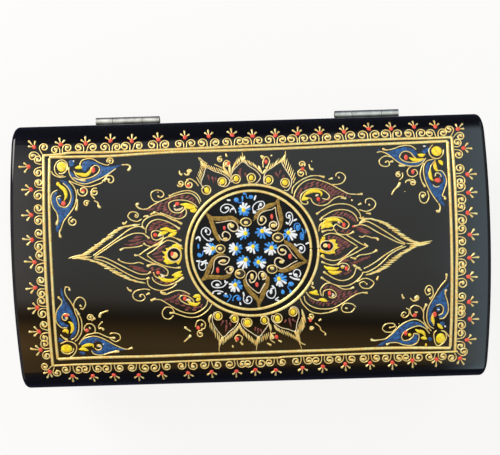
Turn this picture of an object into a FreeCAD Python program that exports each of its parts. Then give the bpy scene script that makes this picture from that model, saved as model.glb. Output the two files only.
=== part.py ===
"""Lacquered papier-mache box with a vaulted lid on two small steel butt hinges.

Frame: X along the length, Y from front to back (hinges at +Y), Z up.
The origin is the centre of the underside, where the box rests. Millimetres.
The lid is modelled closed. Both hinges turn about one line behind the back face, level with the seam.
"""

import FreeCAD, Part
import math
import os
import re

import Sketcher

V = FreeCAD.Vector
TINY = 1e-4

# Driving dimensions in millimetres, by name
SIZES = {
    # shells
    "box_length": 178.0,
    "box_depth": 101.6,
    "base_height": 41.0,
    "lid_wall_height": 6.0,
    "vault_rise": 17.0,
    "shoulder_radius": 11.0,
    "wall_thickness": 6.0,
    "vault_thickness": 4.0,
    "end_thickness": 5.0,
    "inner_shoulder_radius": 7.0,
    "corner_radius": 1.6,
    "inner_corner_radius": 2.0,
    "inner_arris_break": 1.2,
    "foot_break": 0.9,
    "rim_chamfer": 0.3,
    # floor board
    "floor_thickness": 4.0,
    "floor_rebate": 2.8,
    "floor_clearance": 0.15,
    # hinges
    "hinge_length": 25.0,
    "hinge_spacing": 94.0,
    "leaf_width": 5.2,
    "leaf_thickness": 0.8,
    "leaf_gap": 0.1,
    "mortise_clearance": 0.15,
    "barrel_radius": 1.7,
    "barrel_standoff": 0.15,
    "middle_knuckle_length": 11.6,
    "knuckle_gap": 0.2,
    "pin_radius": 0.75,
    "pin_clearance": 0.05,
    "pin_proud": 0.2,
    # wood screws
    "screw_spacing": 15.0,
    "screw_inset": 2.6,
    "screw_length": 5.5,
    "screw_point_length": 1.4,
    "screw_head_radius": 1.25,
    "screw_head_height": 0.6,
    "screw_shank_radius": 0.62,
    "screw_sink": 0.05,
    "screw_clearance": 0.06,
    # how far every cutter runs past the solid
    "overrun": 2.0,
}

# Sizes worked out from the driving ones
DERIVED = {
    "half_length": "box_length / 2",
    "half_depth": "box_depth / 2",
    "inner_half_length": "box_length / 2 - end_thickness",
    "inner_half_depth": "box_depth / 2 - wall_thickness",
    "spring_height": "base_height + lid_wall_height",
    "axis_offset": "box_depth / 2 + barrel_radius + barrel_standoff",
    "mortise_depth": "leaf_thickness + leaf_gap",
    "leaf_reach": "barrel_radius + barrel_standoff + leaf_width",
    "bore_radius": "pin_radius + pin_clearance",
    "hole_radius": "screw_shank_radius + screw_clearance",
    "hinge_centre": "hinge_spacing / 2",
    "screw_row": "box_depth / 2 - screw_inset",
    "screw_row_in_leaf": "barrel_radius + barrel_standoff + screw_inset",
    "screw_level": "leaf_gap + screw_sink",
}

doc = FreeCAD.newDocument("papier_mache_box")
sheet = doc.addObject("Spreadsheet::Sheet", "sizes")
for row, (name, value) in enumerate(SIZES.items(), start=1):
    sheet.set(f"A{row}", name)
    sheet.set(f"B{row}", str(value))
    sheet.setAlias(f"B{row}", name)
workings = doc.addObject("Spreadsheet::Sheet", "workings")
doc.recompute()


def spelled_out(expression):
    """An expression with each derived size replaced by what it is worked out from."""
    return re.sub(r"[a-z_]+", lambda w: f"({DERIVED[w[0]]})" if w[0] in DERIVED else w[0], expression)


def bound(expression):
    """The same expression as another object reads it, every size taken from the sheet."""
    return re.sub(r"[a-z_]+", lambda word: f"sizes.{word[0]}", spelled_out(expression))


def value_of(expression):
    """The number that an expression on named sizes comes to, worked out in a sheet of its own."""
    workings.set("A1", "=" + bound(expression))
    workings.recompute()
    return float(workings.get("A1"))


def size(name):
    """The value of one named size."""
    return value_of(name)


def new_body(label):
    """An empty body whose label names its file."""
    body = doc.addObject("PartDesign::Body", label)
    body.Label = label
    return body


def new_sketch(body, name, role, height=None):
    """A sketch on one of the body's own planes, lifted along that plane's normal."""
    plane = next(f for f in body.Origin.OriginFeatures if f.Role == role)
    sketch = body.newObject("Sketcher::SketchObject", name)
    sketch.AttachmentSupport = (plane, [""])
    sketch.MapMode = "FlatFace"
    if height:
        sketch.setExpression(".AttachmentOffset.Base.z", bound(height))
    return sketch


def dimension(sketch, kind, args, expression):
    """A dimension whose value follows an expression on named sizes."""
    index = sketch.addConstraint(Sketcher.Constraint(kind, *args, value_of(expression)))
    sketch.setExpression(f"Constraints[{index}]", bound(expression))


def fix(sketch, way, geometry, point, expression):
    """Holds one coordinate of a point, X or Y, from the sketch's origin. On the axis where it is 0."""
    if expression == "0":
        axis = -2 if way == "X" else -1
        sketch.addConstraint(Sketcher.Constraint("PointOnObject", geometry, point, axis))
    else:
        dimension(sketch, f"Distance{way}", (-1, 1, geometry, point), expression)


def add_outline(sketch, places):
    """A closed outline of straight lines through points given by expressions."""
    points = [V(value_of(across), value_of(up), 0) for across, up in places]
    count = len(points)
    for i in range(count):
        sketch.addGeometry(Part.LineSegment(points[i], points[(i + 1) % count]), False)
    for i in range(count):
        sketch.addConstraint(Sketcher.Constraint("Coincident", i, 2, (i + 1) % count, 1))
    for i, (across, up) in enumerate(places):
        fix(sketch, "X", i, 1, across)
        fix(sketch, "Y", i, 1, up)


def add_rectangle(sketch, low_x, high_x, low_y, high_y):
    """A rectangle whose four sides lie at the places that the expressions give."""
    x0, x1, y0, y1 = (value_of(e) for e in (low_x, high_x, low_y, high_y))
    corners = [V(x0, y0, 0), V(x1, y0, 0), V(x1, y1, 0), V(x0, y1, 0)]
    first = sketch.GeometryCount
    for i in range(4):
        sketch.addGeometry(Part.LineSegment(corners[i], corners[(i + 1) % 4]), False)
    for i in range(4):
        sketch.addConstraint(Sketcher.Constraint("Coincident", first + i, 2, first + (i + 1) % 4, 1))
    for i, kind in enumerate(("Horizontal", "Vertical", "Horizontal", "Vertical")):
        sketch.addConstraint(Sketcher.Constraint(kind, first + i))
    fix(sketch, "X", first, 1, low_x)
    fix(sketch, "X", first + 1, 1, high_x)
    fix(sketch, "Y", first, 1, low_y)
    fix(sketch, "Y", first + 2, 1, high_y)


def add_circle(sketch, x, y, radius):
    """A circle at the place and of the radius that the expressions give."""
    centre = V(value_of(x), value_of(y), 0)
    index = sketch.addGeometry(Part.Circle(centre, V(0, 0, 1), value_of(radius)), False)
    fix(sketch, "X", index, 3, x)
    fix(sketch, "Y", index, 3, y)
    dimension(sketch, "Radius", (index,), radius)


def add_arch(sketch, half_width, foot, spring, rise, shoulder):
    """A three-centred arch: upright sides, two shoulder arcs and one flat crown arc."""
    a, z0, z1, h, r = (value_of(e) for e in (half_width, foot, spring, rise, shoulder))
    crown = ((a - r) ** 2 + h**2 - r**2) / (2 * (h - r))
    lean = math.atan2(a - r, crown - h)
    low_centre = z1 + h - crown
    right, left = V(a - r, z1, 0), V(r - a, z1, 0)
    up, turn = math.pi / 2, V(0, 0, 1)
    base_left, base_right = V(-a, z0, 0), V(a, z0, 0)
    geometry = [
        Part.LineSegment(base_left, base_right),
        Part.LineSegment(base_right, V(a, z1, 0)),
        Part.ArcOfCircle(Part.Circle(right, turn, r), 0.0, up - lean),
        Part.ArcOfCircle(Part.Circle(V(0, low_centre, 0), turn, crown), up - lean, up + lean),
        Part.ArcOfCircle(Part.Circle(left, turn, r), up + lean, math.pi),
        Part.LineSegment(V(-a, z1, 0), base_left),
    ]
    sketch.addGeometry(geometry, False)
    link = Sketcher.Constraint
    sketch.addConstraint(link("Coincident", 0, 2, 1, 1))
    sketch.addConstraint(link("Tangent", 1, 2, 2, 1))
    sketch.addConstraint(link("Tangent", 2, 2, 3, 1))
    sketch.addConstraint(link("Tangent", 3, 2, 4, 1))
    sketch.addConstraint(link("Tangent", 4, 2, 5, 1))
    sketch.addConstraint(link("Coincident", 5, 2, 0, 1))
    sketch.addConstraint(link("Horizontal", 0))
    sketch.addConstraint(link("Vertical", 1))
    sketch.addConstraint(link("Vertical", 5))
    sketch.addConstraint(link("PointOnObject", 3, 3, -2))
    sketch.addConstraint(link("Equal", 2, 4))
    dimension(sketch, "DistanceX", (-1, 1, 0, 2), half_width)
    dimension(sketch, "DistanceX", (0, 1, -1, 1), half_width)
    dimension(sketch, "DistanceY", (-1, 1, 0, 2), foot)
    dimension(sketch, "DistanceY", (-1, 1, 2, 3), spring)
    dimension(sketch, "Radius", (2,), shoulder)
    apex = sketch.addGeometry(Part.Point(V(0, z1 + h, 0)), True)
    sketch.addConstraint(link("PointOnObject", apex, 1, -2))
    sketch.addConstraint(link("PointOnObject", apex, 1, 3))
    dimension(sketch, "DistanceY", (-1, 1, apex, 1), f"({spring}) + ({rise})")


def extrude(body, kind, name, sketch, length=None, symmetric=False, reverse=False):
    """A Pad or Pocket of a sketch, by a length or through everything."""
    feature = body.newObject(f"PartDesign::{kind}", name)
    feature.Profile = sketch
    if symmetric:
        feature.SideType = "Symmetric"
    if length:
        feature.setExpression("Length", bound(length))
    else:
        feature.Type = "ThroughAll"
    feature.Reversed = reverse
    sketch.Visibility = False
    doc.recompute()
    return feature


def cut(body, name, sketch, length=None, symmetric=False, reverse=False):
    """A Pocket that has to take something away."""
    before = body.Shape.Volume
    feature = extrude(body, "Pocket", name, sketch, length, symmetric, reverse)
    if body.Shape.Volume >= before:
        raise SystemExit(f"{body.Label}: {name} cuts nothing")
    return feature


def round_edges(body, name, radius, chosen):
    """A Fillet on the edges of the body that the test picks."""
    base = body.Tip
    edges = [f"Edge{i}" for i, edge in enumerate(base.Shape.Edges, start=1) if chosen(edge)]
    fillet = body.newObject("PartDesign::Fillet", name)
    fillet.Base = (base, edges)
    fillet.setExpression("Radius", bound(radius))
    doc.recompute()


def break_edges(body, name, width, chosen):
    """A Chamfer on the edges of the body that the test picks."""
    base = body.Tip
    edges = [f"Edge{i}" for i, edge in enumerate(base.Shape.Edges, start=1) if chosen(edge)]
    chamfer = body.newObject("PartDesign::Chamfer", name)
    chamfer.Base = (base, edges)
    chamfer.setExpression("Size", bound(width))
    doc.recompute()


def is_upright(edge):
    """True for a straight edge along Z."""
    box = edge.BoundBox
    return max(box.XLength, box.YLength) < TINY


def is_at_height(edge, height):
    """True for an edge that lies level at that height."""
    return abs(edge.BoundBox.ZMin - height) < TINY and abs(edge.BoundBox.ZMax - height) < TINY


def is_at_end(edge, distance):
    """True for an edge in a plane across the length, that far from the middle, but not in the seam."""
    at_end = all(abs(abs(vertex.X) - distance) < TINY for vertex in edge.Vertexes)
    return at_end and edge.BoundBox.XLength < TINY and not is_at_height(edge, size("base_height"))


def cut_mortises(body, upward):
    """Two shallow seats for the hinge leaves in a back rim, open to the back face."""
    for side, sign in (("left", "-"), ("right", "")):
        seat = new_sketch(body, f"{body.Label}_{side}_seat", "XY_Plane", "base_height")
        centre = f"{sign}hinge_centre"
        reach = "hinge_length / 2 + mortise_clearance"
        add_rectangle(
            seat,
            f"{centre} - ({reach})",
            f"{centre} + {reach}",
            "half_depth - leaf_width - mortise_clearance",
            "half_depth + overrun",
        )
        cut(body, f"{body.Label}_{side}_mortise", seat, "mortise_depth", reverse=upward)


def cut_pilot_holes(body, upward):
    """Four screw holes in a back rim, from the floor of the mortises into the wall."""
    holes = new_sketch(body, f"{body.Label}_pilot_marks", "XY_Plane", "base_height")
    for sign in ("-", ""):
        for way in ("-", "+"):
            x = f"{sign}hinge_centre {way} screw_spacing / 2"
            add_circle(holes, x, "screw_row", "hole_radius")
    depth = "screw_level + screw_length + screw_clearance"
    cut(body, f"{body.Label}_pilot_holes", holes, depth, reverse=upward)


def make_base_walls():
    """The four moulded walls of the base, with a rebate under them for the floor board."""
    body = new_body("base_walls")
    outer = new_sketch(body, "base_outline", "XY_Plane")
    add_rectangle(outer, "-half_length", "half_length", "-half_depth", "half_depth")
    extrude(body, "Pad", "base_block", outer, "base_height")
    round_edges(body, "base_corners", "corner_radius", is_upright)
    break_edges(body, "foot_edge", "foot_break", lambda edge: is_at_height(edge, 0))
    rim = size("base_height")
    break_edges(body, "base_rim_edge", "rim_chamfer", lambda edge: is_at_height(edge, rim))

    inner = new_sketch(body, "base_inside", "XY_Plane", "base_height")
    add_rectangle(
        inner,
        "-inner_half_length",
        "inner_half_length",
        "-inner_half_depth",
        "inner_half_depth",
    )
    cut(body, "base_cavity", inner)
    inside = size("inner_half_length") + TINY
    round_edges(
        body,
        "base_inside_corners",
        "inner_corner_radius",
        lambda edge: is_upright(edge) and abs(edge.Vertexes[0].X) < inside,
    )

    rebate = new_sketch(body, "rebate_outline", "XY_Plane")
    reach_x, reach_y = "inner_half_length + floor_rebate", "inner_half_depth + floor_rebate"
    add_rectangle(rebate, f"-({reach_x})", reach_x, f"-({reach_y})", reach_y)
    cut(body, "floor_seat", rebate, "floor_thickness", reverse=True)
    cut_mortises(body, upward=False)
    cut_pilot_holes(body, upward=False)
    return body


def make_lid_shell():
    """The vaulted lid, one moulded shell: upright rim, rounded shoulders and a flat crown."""
    body = new_body("lid_shell")
    outer = new_sketch(body, "lid_section", "YZ_Plane")
    add_arch(outer, "half_depth", "base_height", "spring_height", "vault_rise", "shoulder_radius")
    extrude(body, "Pad", "lid_block", outer, "box_length", symmetric=True)
    end = size("half_length")
    round_edges(body, "lid_end_arris", "corner_radius", lambda edge: is_at_end(edge, end))
    rim = size("base_height")
    break_edges(body, "lid_rim_edge", "rim_chamfer", lambda edge: is_at_height(edge, rim))

    inner = new_sketch(body, "lid_inside_section", "YZ_Plane")
    add_arch(
        inner,
        "inner_half_depth",
        "base_height - overrun",
        "spring_height",
        "vault_rise - vault_thickness",
        "inner_shoulder_radius",
    )
    cut(body, "lid_cavity", inner, "2 * inner_half_length", symmetric=True)
    inside = size("inner_half_length")
    break_edges(body, "lid_inside_arris", "inner_arris_break", lambda edge: is_at_end(edge, inside))
    cut_mortises(body, upward=True)
    cut_pilot_holes(body, upward=True)
    return body


def make_floor_panel():
    """The flat board let into the rebate under the walls, flush with their foot."""
    panel = doc.addObject("Part::Box", "floor_panel")
    panel.Label = "floor_panel"
    play = "floor_rebate - floor_clearance"
    panel.setExpression("Length", bound(f"2 * (inner_half_length + {play})"))
    panel.setExpression("Width", bound(f"2 * (inner_half_depth + {play})"))
    panel.setExpression("Height", bound("floor_thickness"))
    panel.setExpression("Placement.Base.x", bound(f"-(inner_half_length + {play})"))
    panel.setExpression("Placement.Base.y", bound(f"-(inner_half_depth + {play})"))
    return panel


def place(body, sign, flip):
    """Puts a hinge piece on the hinge line, left or right, turned over for the lid's side."""
    body.setExpression("Placement.Base.x", bound(f"{sign}hinge_centre"))
    body.setExpression("Placement.Base.y", bound("axis_offset"))
    body.setExpression("Placement.Base.z", bound("base_height"))
    if flip:
        body.Placement.Rotation = FreeCAD.Rotation(V(0, 1, 0), 180)


def make_leaf(label, sign, on_lid):
    """One hinge leaf: a flat plate with its edge rolled into knuckles round the pin.

    The pin's line is the body's own X axis. The base leaf has the two end knuckles and the
    lid leaf the middle one. The lid leaf is the same plate turned over.
    """
    body = new_body(label)
    plate = new_sketch(body, f"{label}_plate_section", "YZ_Plane")
    add_rectangle(plate, "-leaf_reach", "0", "-leaf_gap - leaf_thickness", "-leaf_gap")
    extrude(body, "Pad", f"{label}_plate", plate, "hinge_length", symmetric=True)
    roll = new_sketch(body, f"{label}_roll_section", "YZ_Plane")
    add_circle(roll, "0", "0", "barrel_radius")
    extrude(body, "Pad", f"{label}_roll", roll, "hinge_length", symmetric=True)
    bore = new_sketch(body, f"{label}_bore_section", "YZ_Plane")
    add_circle(bore, "0", "0", "bore_radius")
    cut(body, f"{label}_bore", bore, "hinge_length + 2 * overrun", symmetric=True)

    gaps = new_sketch(body, f"{label}_gap_outline", "XY_Plane")
    near, far = "-barrel_radius - barrel_standoff", "barrel_radius + overrun"
    if on_lid:
        inside = "middle_knuckle_length / 2 - knuckle_gap / 2"
        outside = "hinge_length / 2 + overrun"
        add_rectangle(gaps, f"-({outside})", f"-({inside})", near, far)
        add_rectangle(gaps, inside, outside, near, far)
    else:
        reach = "middle_knuckle_length / 2 + knuckle_gap / 2"
        add_rectangle(gaps, f"-({reach})", reach, near, far)
    cut(body, f"{label}_knuckle_gaps", gaps, "2 * barrel_radius + overrun", symmetric=True)

    for way in ("-", ""):
        x = f"{way}screw_spacing / 2"
        add_countersink(body, f"{label}_hole_{'low' if way else 'high'}", x)
    place(body, sign, on_lid)
    return body


def add_countersink(body, name, x):
    """A countersunk screw hole through the leaf, its wide end at the face that meets the seam."""
    plane = next(f for f in body.Origin.OriginFeatures if f.Role == "XY_Plane")
    shapes = (
        ("PartDesign::SubtractiveCone", f"{name}_sink"),
        ("PartDesign::SubtractiveCylinder", f"{name}_bore"),
    )
    for kind, label in shapes:
        before = body.Shape.Volume
        tool = body.newObject(kind, label)
        tool.AttachmentSupport = (plane, [""])
        tool.MapMode = "FlatFace"
        tool.setExpression(".AttachmentOffset.Base.x", bound(x))
        tool.setExpression(".AttachmentOffset.Base.y", bound("-screw_row_in_leaf"))
        if kind.endswith("Cone"):
            tool.setExpression("Radius1", bound("hole_radius"))
            tool.setExpression("Radius2", bound("screw_head_radius + screw_clearance"))
            tool.setExpression("Height", bound("screw_head_height + screw_sink"))
            low = "-leaf_gap - screw_head_height - screw_sink"
        else:
            tool.setExpression("Radius", bound("hole_radius"))
            tool.setExpression("Height", bound("leaf_thickness + 2 * overrun"))
            low = "-leaf_gap - leaf_thickness - overrun"
        tool.setExpression(".AttachmentOffset.Base.z", bound(low))
        doc.recompute()
        if body.Shape.Volume >= before:
            raise SystemExit(f"{label} cuts nothing")


def make_pin(label, sign):
    """The hinge pin: a steel wire through all three knuckles, both its ends with a broken edge."""
    body = new_body(label)
    section = new_sketch(body, f"{label}_section", "YZ_Plane")
    add_circle(section, "0", "0", "pin_radius")
    wire = "hinge_length + 2 * pin_proud"
    extrude(body, "Pad", f"{label}_wire", section, wire, symmetric=True)
    break_edges(body, f"{label}_ends", "pin_proud", lambda edge: edge.BoundBox.XLength < TINY)
    place(body, sign, False)
    return body


def make_screw(label, sign, way, on_lid):
    """A countersunk wood screw. Its own Z axis points out of the head."""
    body = new_body(label)
    half = new_sketch(body, f"{label}_section", "XZ_Plane")
    outline = [
        ("0", "0"),
        ("screw_head_radius", "0"),
        ("screw_shank_radius", "-screw_head_height"),
        ("screw_shank_radius", "screw_point_length - screw_length"),
        ("0", "-screw_length"),
    ]
    add_outline(half, outline)
    turned = body.newObject("PartDesign::Revolution", f"{label}_turned")
    turned.Profile = half
    turned.ReferenceAxis = (half, ["V_Axis"])
    turned.Angle = 360
    body.setExpression("Placement.Base.x", bound(f"{sign}hinge_centre {way} screw_spacing / 2"))
    body.setExpression("Placement.Base.y", bound("screw_row"))
    if on_lid:
        body.Placement.Rotation = FreeCAD.Rotation(V(1, 0, 0), 180)
        body.setExpression("Placement.Base.z", bound("base_height + screw_level"))
    else:
        body.setExpression("Placement.Base.z", bound("base_height - screw_level"))
    return body


def make_hinge(side, sign):
    """One hinge of the pair: two leaves, a pin and two screws in each leaf."""
    pieces = [
        make_leaf(f"{side}_hinge_base_leaf", sign, on_lid=False),
        make_leaf(f"{side}_hinge_lid_leaf", sign, on_lid=True),
        make_pin(f"{side}_hinge_pin", sign),
    ]
    for on_lid, part in ((False, "base"), (True, "lid")):
        for way, end in (("-", "a"), ("+", "b")):
            pieces.append(make_screw(f"{side}_{part}_screw_{end}", sign, way, on_lid))
    return pieces


parts = [make_base_walls(), make_floor_panel(), make_lid_shell()]
for side, sign in (("left", "-"), ("right", "")):
    parts += make_hinge(side, sign)
doc.recompute()

failed = [o.Name for o in doc.Objects if {"Invalid", "Error"} & set(o.State)]
if failed:
    raise SystemExit(f"objects that failed: {failed}")
for piece in parts:
    if piece.Shape.isNull() or not piece.Shape.isValid() or not piece.Shape.Solids:
        raise SystemExit(f"{piece.Label} has no valid shape")

os.makedirs("parts", exist_ok=True)
for piece in parts:
    piece.Shape.exportStep(f"parts/{piece.Label}.step")
    box = piece.Shape.BoundBox
    print(
        f"{piece.Label:24s} solids {len(piece.Shape.Solids)} volume {piece.Shape.Volume:10.1f}"
        f"  x {box.XMin:7.2f} {box.XMax:7.2f}  y {box.YMin:7.2f} {box.YMax:7.2f}"
        f"  z {box.ZMin:6.2f} {box.ZMax:6.2f}"
    )
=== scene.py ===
"""Looks of the lacquered box: black gloss shell, raised gold line ornament, painted fills.

All ornament is real relief. It is laid out on the unrolled vault of the lid and wrapped back onto it.
Places read from the photograph are pixels of its 500 by 455 frame, and reach the lid through the camera.
"""

import math
import random
from collections import namedtuple

import bpy
import numpy as np
from mathutils import Matrix, Vector, geometry


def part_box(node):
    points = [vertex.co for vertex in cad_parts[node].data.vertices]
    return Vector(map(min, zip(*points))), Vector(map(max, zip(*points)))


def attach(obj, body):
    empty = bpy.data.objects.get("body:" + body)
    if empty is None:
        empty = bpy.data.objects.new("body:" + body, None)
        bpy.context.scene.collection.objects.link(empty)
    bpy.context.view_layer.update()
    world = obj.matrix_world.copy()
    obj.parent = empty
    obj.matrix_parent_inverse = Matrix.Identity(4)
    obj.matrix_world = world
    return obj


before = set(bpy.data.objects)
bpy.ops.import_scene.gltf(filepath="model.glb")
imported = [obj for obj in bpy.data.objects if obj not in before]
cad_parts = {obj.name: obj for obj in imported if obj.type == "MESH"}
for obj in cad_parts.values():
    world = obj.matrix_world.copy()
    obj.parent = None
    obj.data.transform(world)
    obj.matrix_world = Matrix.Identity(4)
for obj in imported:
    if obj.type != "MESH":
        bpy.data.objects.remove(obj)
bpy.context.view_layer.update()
MM = 0.001
random.seed(7)

# Shape of the lid: a crown arc between two shoulder arcs, on a straight rim
LID_LOW, LID_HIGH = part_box("lid_shell")
HALF_LENGTH, HALF_DEPTH = LID_HIGH.x, LID_HIGH.y
SEAM, CREST = LID_LOW.z, LID_HIGH.z
RIM, SHOULDER, ARRIS = 6 * MM, 11 * MM, 1.6 * MM
SPRING = SEAM + RIM
RISE = CREST - SPRING
CROWN = ((HALF_DEPTH - SHOULDER) ** 2 + RISE**2 - SHOULDER**2) / (2 * (RISE - SHOULDER))
LEAN = math.atan2(HALF_DEPTH - SHOULDER, CROWN - RISE)
CROWN_ARC = CROWN * LEAN
WALL_START = CROWN_ARC + SHOULDER * (math.pi / 2 - LEAN)

# Camera, as the photograph was taken: from above, a little towards the hinges
PHOTO = (500, 455)
SENSOR = 36.0
FOCAL_PX = 813.0
CAMERA_HEIGHT = CREST + 300 * MM
CAMERA_X, CAMERA_Y = 0.53 * MM, 14.09 * MM
TILT_X, TILT_Y, TURN = (math.radians(a) for a in (-2.94, 0.09, -1.66))
SHIFT_PX = 30.0
CAMERA_NEAR, CAMERA_FAR = 0.01, 20
CAMERA_TURN = (
    Matrix.Rotation(TURN, 3, "Z") @ Matrix.Rotation(TILT_X, 3, "X") @ Matrix.Rotation(TILT_Y, 3, "Y")
)

# Rounds of the search for the place where a ray of the camera lands on the vault
LANDING_ROUNDS = 12


def vault(s):
    """Depth, height and lean of the normal at an arc length from the crest, back positive."""
    away, side = np.abs(s), np.where(np.asarray(s) < 0, -1.0, 1.0)
    on_crown = away <= CROWN_ARC
    crown = away / CROWN
    shoulder = LEAN + (np.clip(away, CROWN_ARC, WALL_START) - CROWN_ARC) / SHOULDER
    lean = np.where(on_crown, crown, shoulder)
    y = np.where(on_crown, CROWN * np.sin(crown), HALF_DEPTH - SHOULDER + SHOULDER * np.sin(shoulder))
    z = np.where(on_crown, CREST - CROWN + CROWN * np.cos(crown), SPRING + SHOULDER * np.cos(shoulder))
    z = z - np.maximum(away - WALL_START, 0)
    return side * y, z, side * lean


def on_lid(u, s, lift):
    """Points of the lid's outside, at u along it and s round it, lifted off along the normal."""
    y, z, lean = vault(s)
    over = np.clip(np.abs(u) - (HALF_LENGTH - ARRIS), 0, ARRIS)
    turn = np.arcsin(over / ARRIS)
    out = lift * np.cos(turn) - ARRIS * (1 - np.cos(turn))
    x = u + np.sign(u) * lift * np.sin(turn)
    return np.stack([x, y + out * np.sin(lean), z + out * np.cos(lean)], -1)


def unroll(y):
    """Arc length round the vault at a depth from the middle."""
    away = np.abs(y)
    crown = CROWN * np.arcsin(np.clip(away / CROWN, 0, math.sin(LEAN)))
    past = np.arcsin(np.clip((away - (HALF_DEPTH - SHOULDER)) / SHOULDER, -1, 1)) - LEAN
    return np.sign(y) * np.where(crown < CROWN_ARC - 1e-9, crown, CROWN_ARC + SHOULDER * past)


def from_photo(points):
    """Pixels of the photograph to places on the unrolled lid, in metres."""
    pixels = np.asarray(points, float).reshape(-1, 2)
    right = (pixels[:, 0] - PHOTO[0] / 2) / FOCAL_PX
    up = -(pixels[:, 1] - SHIFT_PX - PHOTO[1] / 2) / FOCAL_PX
    rays = np.stack([right, up, -np.ones(len(pixels))], -1) @ np.array(CAMERA_TURN).T
    z = np.full(len(pixels), CREST)
    for _ in range(LANDING_ROUNDS):
        run = (z - CAMERA_HEIGHT) / rays[:, 2]
        x, y = CAMERA_X + run * rays[:, 0], CAMERA_Y + run * rays[:, 1]
        s = unroll(np.clip(y, -HALF_DEPTH, HALF_DEPTH))
        z = vault(s)[1]
    return np.stack([x, s], -1)


# Profiles: the share of a stroke's width along its length
EVEN = ((0, 1), (1, 1))
DROP = ((0, 0.45), (0.55, 0.6), (0.85, 1.0), (1, 0.95))
TAPER = ((0, 1), (0.25, 0.85), (1, 0.25))
PETAL = ((0, 0.25), (0.6, 0.7), (0.85, 1), (1, 0.8))
SWELL = ((0, 0.3), (0.35, 1), (0.7, 0.9), (1, 0.2))

# Cross sections of a stroke, as shares of its half width and of its height
BEAD_SHARES = ((-1, 0), (-0.72, 0.62), (-0.3, 0.94), (0.3, 0.94), (0.72, 0.62), (1, 0))
BAND_SHARES = ((-1, 0), (-0.9, 0.8), (-0.45, 1), (0, 1), (0.45, 1), (0.9, 0.8), (1, 0))
BEAD_HEIGHT = 0.36
BEAD_THINNING = 0.8
BAND_THINNING = 0.4

# The rounded end of a stroke: where it is sampled, how far off the next place is, and the least radius and
# share of the width it may have
END_SHARES = np.array((0, 0.08, 0.3, 0.65))
END_MARGIN = 0.3
LEAST_HALF = 1e-5
LEAST_SHARE = 0.02

# Spacing of the places along a stroke
FINEST_STEP, WIDEST_STEP = 0.12 * MM, 0.3 * MM

# A dot of paint: rings as shares of its radius and height, and the number of points in each ring
DOT_RINGS = ((1, 0), (0.86, 0.5), (0.6, 0.83), (0.3, 0.97), (0.04, 1))
DOT_SPOKES = 12

# A flat area of paint: spacing of its outline and streaks of the brush
OUTLINE_STEP = 0.35 * MM
STREAK_HEIGHT = 0.012 * MM
STREAK_RATE, WAVER_RATE, WAVER = 3100, 900, 3

# It is triangulated in millimetres, with near points joined, and what lies on the outline is its foot
PER_METRE = 1000
JOINED = 1e-4
ON_OUTLINE = 1e-6

# Paint is gathered by piece name, with its foot a little inside the lacquer
PIECES = {}
SINK = 0.05 * MM

# Points closer than the first count as one, and the second keeps a division from zero
DOUBLED = 1e-7
TINY = 1e-12


def add_piece(name, points, faces):
    """Adds points and faces to a piece that is made at the end."""
    blocks = PIECES.setdefault(name, ([], []))
    start = sum(len(block) for block in blocks[0])
    blocks[0].append(points)
    blocks[1].append(faces + start)


def smooth(path, step):
    """A curve through the points, sampled at about the step."""
    p = np.asarray(path, float)
    if len(p) == 2:
        count = max(3, int(np.linalg.norm(p[1] - p[0]) / step) + 2)
        return p[0] + np.linspace(0, 1, count)[:, None] * (p[1] - p[0])
    ends = np.vstack([2 * p[0] - p[1], p, 2 * p[-1] - p[-2]])
    out = []
    for i in range(1, len(ends) - 2):
        a, b, c, d = ends[i - 1 : i + 3]
        count = max(2, int(np.linalg.norm(c - b) / step) + 1)
        t = np.linspace(0, 1, count, endpoint=False)[:, None]
        bend = (2 * a - 5 * b + 4 * c - d) * t**2 + (3 * b - a - 3 * c + d) * t**3
        out.append(0.5 * (2 * b + (c - a) * t + bend))
    return np.vstack([*out, p[-1:]])


def lengths(path):
    """Distance from the start of a path to each of its points."""
    return np.concatenate([[0], np.cumsum(np.linalg.norm(np.diff(path, axis=0), axis=1))])


def point_at(path, along, at):
    """The point of a path at a distance, or one for each of several distances."""
    return np.stack([np.interp(at, along, path[:, 0]), np.interp(at, along, path[:, 1])], -1)


def stations(path, width, profile, step):
    """Places along a path and the stroke's width at each, with both ends rounded off."""
    places = smooth(path, step)
    places = places[np.concatenate([[True], np.diff(lengths(places)) > DOUBLED])]
    along = lengths(places)
    total = along[-1]
    shares = np.array(profile, float)
    widths = width * np.interp(along / total, shares[:, 0], shares[:, 1])
    start, end = max(widths[0] / 2, LEAST_HALF), max(widths[-1] / 2, LEAST_HALF)
    head = END_SHARES * min(start, total / 3)
    tail = total - END_SHARES[::-1] * min(end, total / 3)
    first, last = head[-1] * (1 + END_MARGIN), tail[0] - END_MARGIN * (total - tail[0])
    inner = along[(along > first) & (along < last)]
    at = np.unique(np.concatenate([head, inner, tail]))
    near = np.minimum(np.clip(at / start, 0, 1), np.clip((total - at) / end, 0, 1))
    rounded = np.sqrt(np.clip(1 - (1 - near) ** 2, LEAST_SHARE**2, 1))
    return point_at(places, along, at), np.interp(at, along, widths) * rounded


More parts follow.
